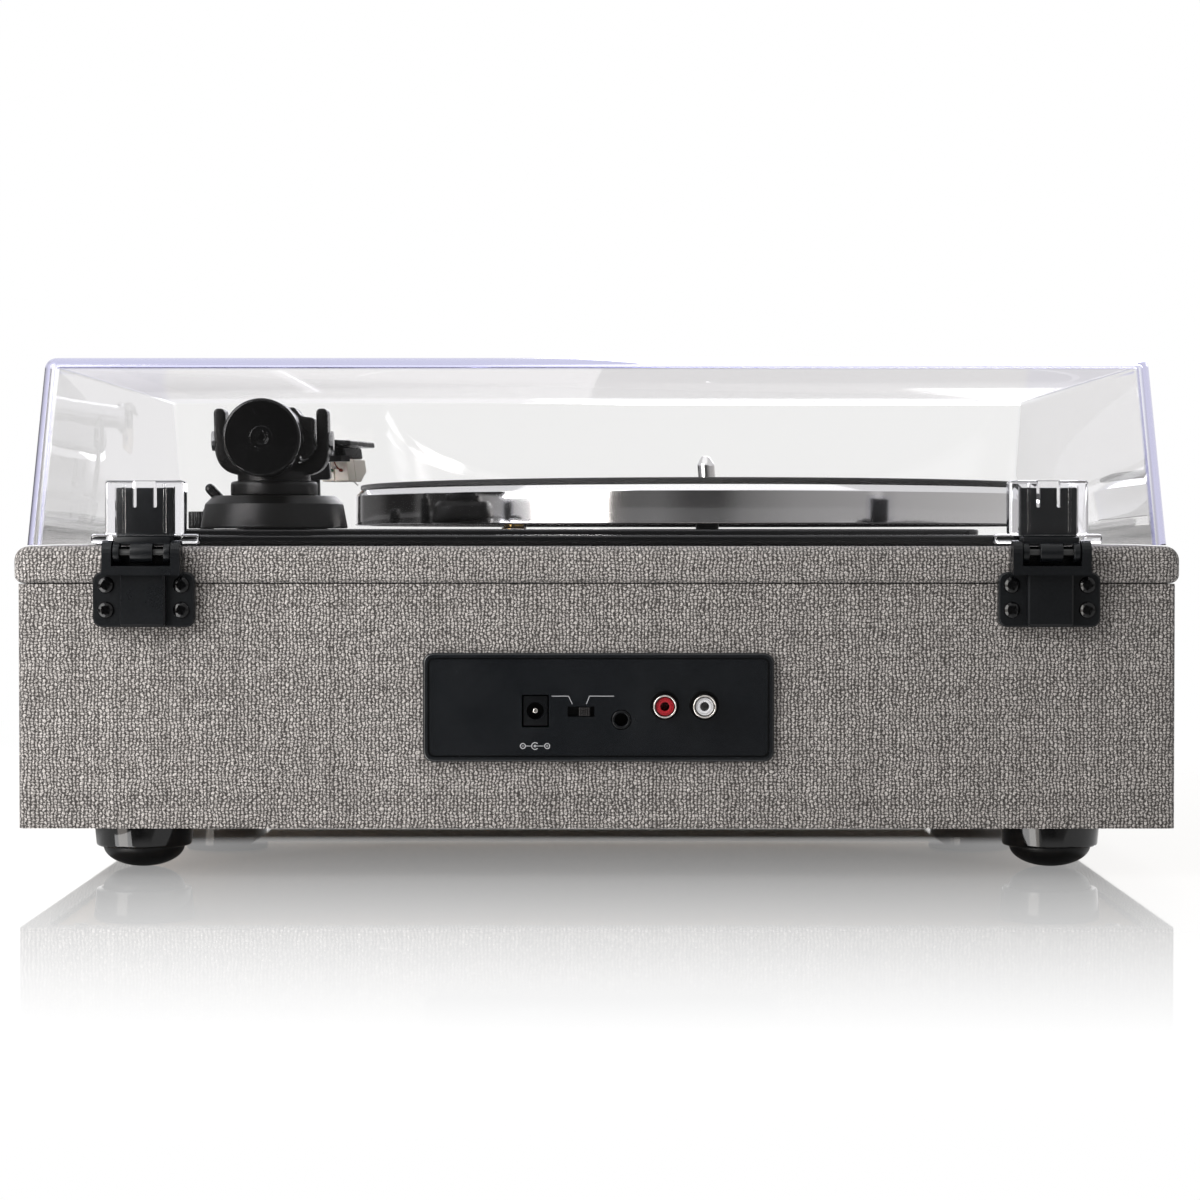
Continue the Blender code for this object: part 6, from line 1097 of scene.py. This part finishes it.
# %% Arm base
arm_place, arm_centre, arm_line = (ARM_X, ARM_Y, 0), (ARM_X, ARM_Y, ARM_Z), (ARM_X, 0, ARM_Z)
arm_black = moulded_plastic("arm_black", (0.0034, 0.0032, 0.0030), 0.34)
base = turned([(0.0033, 0.111), (0.0120, 0.111, 0.0004), (0.0120, 0.1245, 0.0002), (0.0275, 0.1245, 0.0006),
               (0.0258, 0.1337, 0.0004), (0.0228, 0.1368, 0.0008), (0.0033, 0.1368), (0.0033, 0.111)],
              arm_place, steps=128)
lever_slot = block((ARM_X + 0.0157, ARM_Y - 0.00225, 0.13075), (ARM_X + 0.0285, ARM_Y + 0.00225, 0.140),
                   0.0006)
finish_piece("arm_foot", less(base, lever_slot), arm_black, "cabinet", "arm_base_plastic", "arm_base",
             sharp=30)
collar = turned([(0.0033, 0.1371), (0.0162, 0.1371, 0.0004), (0.0162, 0.1424, 0.0016),
                 (0.0132, 0.1424, 0.0002), (0.0033, 0.1424), (0.0033, 0.1371)], arm_place, steps=112)
finish_piece("arm_ring", collar, arm_black, "cabinet", "arm_base_plastic", "arm_collar", sharp=30)

# %% [markdown]
# The yoke is a moulded U. Its outline is an outer curve and an inner curve pushed to one
# thickness, so both the round bends and the thin uprights come from a single profile.

# %% Yoke
YOKE_HALF, YOKE_ARM, YOKE_LOW_Z, YOKE_FLOOR_Z, YOKE_TOP_Z = 0.02125, 0.0043, 0.1445, 0.1490, 0.1689


def both_sides(middle, half):
    """A closed outline from its right half, given from the bottom to the top."""
    right = [(middle + point[0], *point[1:]) for point in half]
    left = [(middle - point[0], *point[1:]) for point in reversed(half)]
    return [left[-1], *right, *left[:-1]]


yoke_satin = moulded_plastic("yoke_satin", (0.0036, 0.0033, 0.0031), 0.26, 2400.0, 3e-6)
inner = YOKE_HALF - YOKE_ARM
yoke_line = eased(both_sides(ARM_X, [(YOKE_HALF, YOKE_LOW_Z, 0.011), (YOKE_HALF, YOKE_TOP_Z, 0.0020),
                                     (inner, YOKE_TOP_Z, 0.0020), (inner, YOKE_FLOOR_Z, 0.0085)]), steps=12)
yoke = plate(yoke_line, ARM_Y - 0.006, ARM_Y + 0.006, "Y", 0.0008)
neck = drum(0.0136, 0.1425, 0.1460, steps=96)
bmesh.ops.scale(neck, vec=(1, 0.85, 1), verts=neck.verts)
bmesh.ops.translate(neck, vec=arm_place, verts=neck.verts)
yoke = plus(yoke, neck, drum(0.0030, 0, 0.023, (ARM_X, ARM_Y, 0.1220)))
yoke = less(yoke, drum(0.0027, -0.03, 0.03, arm_centre, "X"))
finish_piece("arm_fork", yoke, yoke_satin, "arm_carrier", "yoke_plastic", "arm_yoke", sharp=34)

# %% [markdown]
# ## Pivot block and arm tube
# Two pointed screws through the yoke hold the pivot block. The tube leaves the block, rises a
# little on its way to the front and ends in a straight stub that the headshell collar grips.

# %% Pivot and tube
PIVOT_HALF_X, PIVOT_LOW_Z, PIVOT_SHOULDER_Z, PIVOT_TOP_Z = 0.0160, 0.1505, 0.1655, 0.1692
TUBE_FRONT_Z = 0.1606
repaint(turned_metal("arm_screw_steel", (0.30, 0.30, 0.30), 0.28, arm_centre, (0, pi / 2, 0)),
        "pivot_screw_left", "pivot_screw_right")
pivot_half = [(PIVOT_HALF_X, PIVOT_LOW_Z, 0.0030), (PIVOT_HALF_X, PIVOT_SHOULDER_Z, 0.0010),
              (0.0118, PIVOT_SHOULDER_Z + 0.0004, 0.0030), (0.0092, PIVOT_TOP_Z, 0.0016)]
pivot = plate(eased(both_sides(ARM_X, pivot_half), steps=8), ARM_Y - 0.0088, ARM_Y + 0.0088, "Y", 0.0012)
for way in (-1, 1):
    pivot = less(pivot, drum(0.0029, -0.0030, 0.0030, (ARM_X + way * 0.0155, ARM_Y, ARM_Z), "X", 32),
                 drum(0.0016, -0.0030, 0.0030, (ARM_X + way * 0.0105, ARM_Y, ARM_Z), "X", 32))
finish_piece("pivot_body", pivot, yoke_satin, "tonearm", "yoke_plastic", "pivot_block", sharp=34)
tube_metal = smeared("tube_metal", (0.62, 0.62, 0.63), 0.20, 60.0, 4.0, 0.14, 0.12, 1500.0, metallic=1.0)
tube_path = eased([(0.106375, ARM_Z), (0.099675, ARM_Z, 0.08), (-0.075325, TUBE_FRONT_Z, 0.08),
                   (-0.080325, TUBE_FRONT_Z)], closed=False, steps=6)
finish_piece("arm_pipe", rod([(ARM_X, *spot) for spot in tube_path], 0.0044, 48), tube_metal, "tonearm",
             "arm_tube_metal", "arm_tube")
repaint(turned_metal("stub_metal", (0.45, 0.45, 0.46), 0.25, arm_centre, (pi / 2, 0, 0)), "arm_stub")

# %% [markdown]
# ## Counterweight and dial
# The weight is a gloss black drum with a small raised eye. The dial in front of it has fine
# teeth all round. Each tooth is cut, since they catch the light against the weight.

# %% Counterweight
WEIGHT_NEAR_Y, WEIGHT_FAR_Y = 0.128475, 0.148975
weight_black = turned_metal("weight_black", (0.0010, 0.0010, 0.0011), 0.10, arm_centre, (pi / 2, 0, 0),
                            metallic=0.0, specular_ior_level=0.26)
weight = turned([(0.0038, WEIGHT_NEAR_Y), (0.0141, WEIGHT_NEAR_Y, 0.0004), (0.0141, WEIGHT_FAR_Y, 0.0012),
                 (0.0041, WEIGHT_FAR_Y, 0.0001), (0.0041, WEIGHT_FAR_Y + 0.0005, 0.0004),
                 (0.0026, WEIGHT_FAR_Y + 0.0005, 0.0002), (0.0022, WEIGHT_FAR_Y - 0.0002, 0.0003),
                 (0.0013, WEIGHT_FAR_Y - 0.0002, 0.0002), (0.0010, WEIGHT_FAR_Y - 0.0022),
                 (0, WEIGHT_FAR_Y - 0.0022)], arm_line, "Y", 160)
bore = turned([(0, WEIGHT_FAR_Y - 0.0034), (0.0038, WEIGHT_FAR_Y - 0.0034), (0.0038, WEIGHT_NEAR_Y)],
              arm_line, "Y", 160)
finish_piece("balance_drum", together(weight, bore), weight_black, "balance_weight", "weight_metal",
             "counterweight")

# %% Dial
DIAL_NEAR_Y, DIAL_FAR_Y, DIAL_RADIUS, TEETH = 0.122375, 0.128175, 0.0131, 104
dial_line = []
for tooth in range(TEETH):
    for share, radius in ((0.0, DIAL_RADIUS - 0.00030), (0.30, DIAL_RADIUS), (0.62, DIAL_RADIUS)):
        angle = 2 * pi * (tooth + share) / TEETH
        dial_line.append((ARM_X + radius * cos(angle), ARM_Z + radius * sin(angle)))
face_ring = turned([(0.0105, DIAL_FAR_Y - 0.0004), (0.0122, DIAL_FAR_Y - 0.0004),
                    (0.0122, DIAL_FAR_Y + 0.001), (0.0105, DIAL_FAR_Y + 0.001),
                    (0.0105, DIAL_FAR_Y - 0.0004)], arm_line, "Y", 104)
dial = less(plate(dial_line, DIAL_NEAR_Y, DIAL_FAR_Y, "Y"), drum(0.0038, 0.120, 0.130, arm_line, "Y", 64),
            face_ring)
dial_black = moulded_plastic("dial_black", (0.0026, 0.0026, 0.0027), 0.28, 3000.0)
finish_piece("toothed_dial", dial, dial_black, "balance_dial", "dial_plastic", "weight_dial", sharp=30)

# %% [markdown]
# ## Headshell and cartridge
# The headshell is a thin plate set at an angle to the tube, with a finger lift at one side.
# The cartridge hangs below on a black mount: a cream body with a dark seam, then the stylus.

# %% Headshell
SHELL_LOW_Z, SHELL_HIGH_Z = 0.1622, 0.1646
GROOVES, GRIP_RADIUS = 5, 0.0058
tube_line = (ARM_X, 0, TUBE_FRONT_Z)
bend = Matrix.Translation((ARM_X, -0.086825, 0)) @ Matrix.Rotation(-22 * pi / 180, 4, "Z")


def bent(*shapes):
    whole = together(*shapes)
    bmesh.ops.transform(whole, matrix=bend, verts=whole.verts)
    return whole


grip = [(0.0045, -0.075325), (GRIP_RADIUS, -0.075325, 0.0006)]
for y in (-0.0770 - groove * 0.0011 for groove in range(GROOVES)):
    grip += [(GRIP_RADIUS, y, 0.0001), (0.0054, y - 0.00025, 0.0001), (GRIP_RADIUS, y - 0.0005, 0.0001)]
grip += [(GRIP_RADIUS, -0.084825, 0.0006), (0.0030, -0.084825), (0.0030, -0.0812), (0.0045, -0.0812),
         (0.0045, -0.075325)]
collar_metal = turned_metal("collar_metal", (0.40, 0.40, 0.41), 0.22, tube_line, (pi / 2, 0, 0))
finish_piece("shell_collar", turned(grip, tube_line, "Y"), collar_metal, "tonearm", "arm_tube_metal",
             "headshell_collar", sharp=36)
shell_black = moulded_plastic("shell_black", (0.0032, 0.0032, 0.0032), 0.26, depth=3e-6)
shell_line = eased([(-0.0055, -0.0040, 0.0018), (-0.0079, -0.0130, 0.004), (-0.0066, -0.0410, 0.0022),
                    (0.0066, -0.0410, 0.0022), (0.0079, -0.0130, 0.004), (0.0055, -0.0040, 0.0018)], steps=8)
shell = plate(shell_line, SHELL_LOW_Z, SHELL_HIGH_Z, edge=0.0006)
for x in (-0.0040, 0.0040):
    window = box_outline(x - 0.0011, -0.0300, x + 0.0011, -0.0240, 0.001, 5)
    shell = less(shell, plate(window, SHELL_LOW_Z - 0.002, SHELL_HIGH_Z + 0.002))
neck = turned([(0, 0.0010), (0.0036, 0.0010, 0.0004), (0.0036, -0.0090, 0.0018), (0, -0.0090)],
              (0, 0, TUBE_FRONT_Z), "Y", 64)
lift_line = eased([(0.0033, 0.1626), (0.0122, 0.1626, 0.002), (0.0160, 0.1634, 0.0004),
                   (0.0158, 0.1644, 0.0004), (0.0120, 0.1640, 0.002), (0.0033, 0.1640)], steps=5)
shell = plus(shell, neck, plate(lift_line, -0.0316, -0.0290, "Y", 0.0004))
finish_piece("shell_plate", bent(shell), shell_black, "tonearm", "headshell_plastic", "headshell", sharp=34)
mount = less(block((-0.0062, -0.0280, 0.1573), (0.0062, -0.0095, 0.1619), 0.0007, 3),
             *[drum(0.0012, 0.150, 0.165, (x, -0.0270, 0), steps=24) for x in (-0.0062, 0.0062)])
finish_piece("shell_mount", bent(mount), shell_black, "tonearm", "headshell_plastic", "cartridge_mount")
screws = [cross_screw((x, -0.0200, SHELL_HIGH_Z), (0, 0, 1), 0.0013, 0.0005, 0.4 + x)
          for x in (-0.0036, 0.0036)]
finish_piece("mount_screws", bent(*screws), turned_metal("shell_screw_steel", (0.42, 0.41, 0.40), 0.30),
             "tonearm", "headshell_plastic")

# %% Cartridge
SEAM_Y, SEAM_LOW_Z, SEAM_HIGH_Z = -0.0162, 0.1470, 0.1580
cream = pitted("cartridge_cream", (0.62, 0.56, 0.48), 0.38, subsurface_weight=0.15, subsurface_scale=0.002)
side_line = eased([(-0.0280, 0.1570, 0.0006), (-0.0280, 0.1520, 0.0008), (-0.0215, 0.1478, 0.0012),
                   (-0.0095, 0.1478, 0.0008), (-0.0095, 0.1570, 0.0006)], steps=5)
seams = [block((low, SEAM_Y - 0.0005, SEAM_LOW_Z), (high, SEAM_Y, SEAM_HIGH_Z))
         for low, high in ((-0.0080, -0.0065), (0.0065, 0.0080))]
seams.append(block((-0.0004, -0.0100, SEAM_LOW_Z), (0.0004, -0.0090, SEAM_HIGH_Z)))
body = less(plate(side_line, -0.0068, 0.0068, "X", 0.0007), together(*seams))
finish_piece("cartridge_shell", bent(body), cream, "tonearm", "cartridge_plastic", "cartridge_body", sharp=34)

# %% Leads
WIRE_COLOURS = {"red": (0.16, 0.03, 0.02), "white": (0.40, 0.38, 0.35), "green": (0.02, 0.08, 0.04),
                "blue": (0.02, 0.04, 0.14)}
for number, (name, colour) in enumerate(WIRE_COLOURS.items()):
    x, z = -0.0036 + number * 0.0024, 0.1524 + (number % 2) * 0.0012
    wire = rod(smooth_path([(x * 0.5, -0.0060, 0.1596), (x * 0.8, -0.0046, 0.1562), (x, -0.0060, 0.1532),
                            (x, -0.0092, z)]), 0.00030, 12)
    pin = turned([(0, -0.0100), (0.0007, -0.0100), (0.0007, -0.0078, 0.0003), (0, -0.0078)], (x, 0, z), "Y",
                 20)
    finish_piece(f"lead_{name}", bent(wire, pin), moulded_plastic(f"wire_{name}", colour, 0.40, 3000.0),
                 "tonearm", "cartridge_plastic")

# %% [markdown]
# The stylus is a pale holder in a notch under the cartridge, with a thin bar to its tip.

# %% Stylus
repaint(pitted("stylus_white", (0.74, 0.72, 0.68), 0.40), "stylus")

# %% [markdown]
# ## Arm rest, cue lift and cue lever
# The rest is a post with a cradle and one taller wall. The lift is a curved platform on its
# own post, so the arm stays level on it wherever it stands. The lever beside the collar works it.

# %% Rest and cue parts
rest_black = moulded_plastic("rest_black", (0.0059, 0.0059, 0.0061), 0.32)
post = turned([(0, 0.1180), (0.0032, 0.1180), (0.0032, 0.1245, 0.0001), (0.0065, 0.1245, 0.0003),
               (0.0065, 0.1264, 0.0007), (0.0036, 0.1267, 0.0010), (0.0032, 0.1480), (0, 0.1480)],
              (ARM_X, REST_Y, 0), steps=64)
cradle_line = [(-0.0080, 0.1468, 0.0016), (0.0080, 0.1468, 0.0016), (0.0080, 0.159226, 0.0011),
               (0.0054, 0.159226, 0.0011), (0.0054, 0.1523, 0.0014), (0.0040, 0.150226, 0.0020),
               (-0.0040, 0.150226, 0.0020), (-0.0054, 0.153726, 0.0006), (-0.0080, 0.153726, 0.0008)]
cradle = plate(eased([(ARM_X + x, z, radius) for x, z, radius in cradle_line], steps=6), REST_Y - 0.0035,
               REST_Y + 0.0035, "Y", 0.0006)
finish_piece("rest_cradle", plus(cradle, post), rest_black, "cabinet", "rest_plastic", "arm_rest")
repaint(rest_black, "cue_guide", "cue_lift")
repaint(moulded_plastic("lever_black", (0.0055, 0.0055, 0.0057), 0.24, depth=3e-6), "cue_lever")

# %% [markdown]
# ## Knobs
# Both knobs are ribbed round the side and have one small ridge on top as a pointer.

# %% Knobs
KNOB_LOW_Z, KNOB_TOP_Z, KNOB_RIBS, KNOB_STEPS, RIB_DEPTH = 0.1248, 0.1320, 20, 200, 0.00025
knob_black = moulded_plastic("knob_black", (0.0059, 0.0059, 0.0061), 0.34)
for name, body, kind in (("speed_knob", "speed_selector", "speed"),
                         ("volume_knob", "volume_control_knob", "volume")):
    low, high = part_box(name)
    x, y = KNOB_PLACES[kind]
    radii = [(high[0] - low[0]) / 2 - RIB_DEPTH * (1 - cos(KNOB_RIBS * (2 * pi * count / KNOB_STEPS)))
             for count in range(KNOB_STEPS)]
    cap = plate(ring_points(x, y, radii), KNOB_LOW_Z, KNOB_TOP_Z, edge=0.0004, segments=2)
    ridge = block((x - 0.0008, y - 0.0060, KNOB_TOP_Z - 0.0006), (x + 0.0008, y + 0.0060, high[2]), 0.0003, 3)
    stem = turned([(0, low[2]), (0.0028, low[2], 0.0003), (0.0028, KNOB_LOW_Z + 0.0005),
                   (0, KNOB_LOW_Z + 0.0005)], (x, y, 0), steps=32)
    finish_piece("ribbed_" + name, plus(cap, ridge, stem), knob_black, body, "knob_plastic", name, sharp=34)
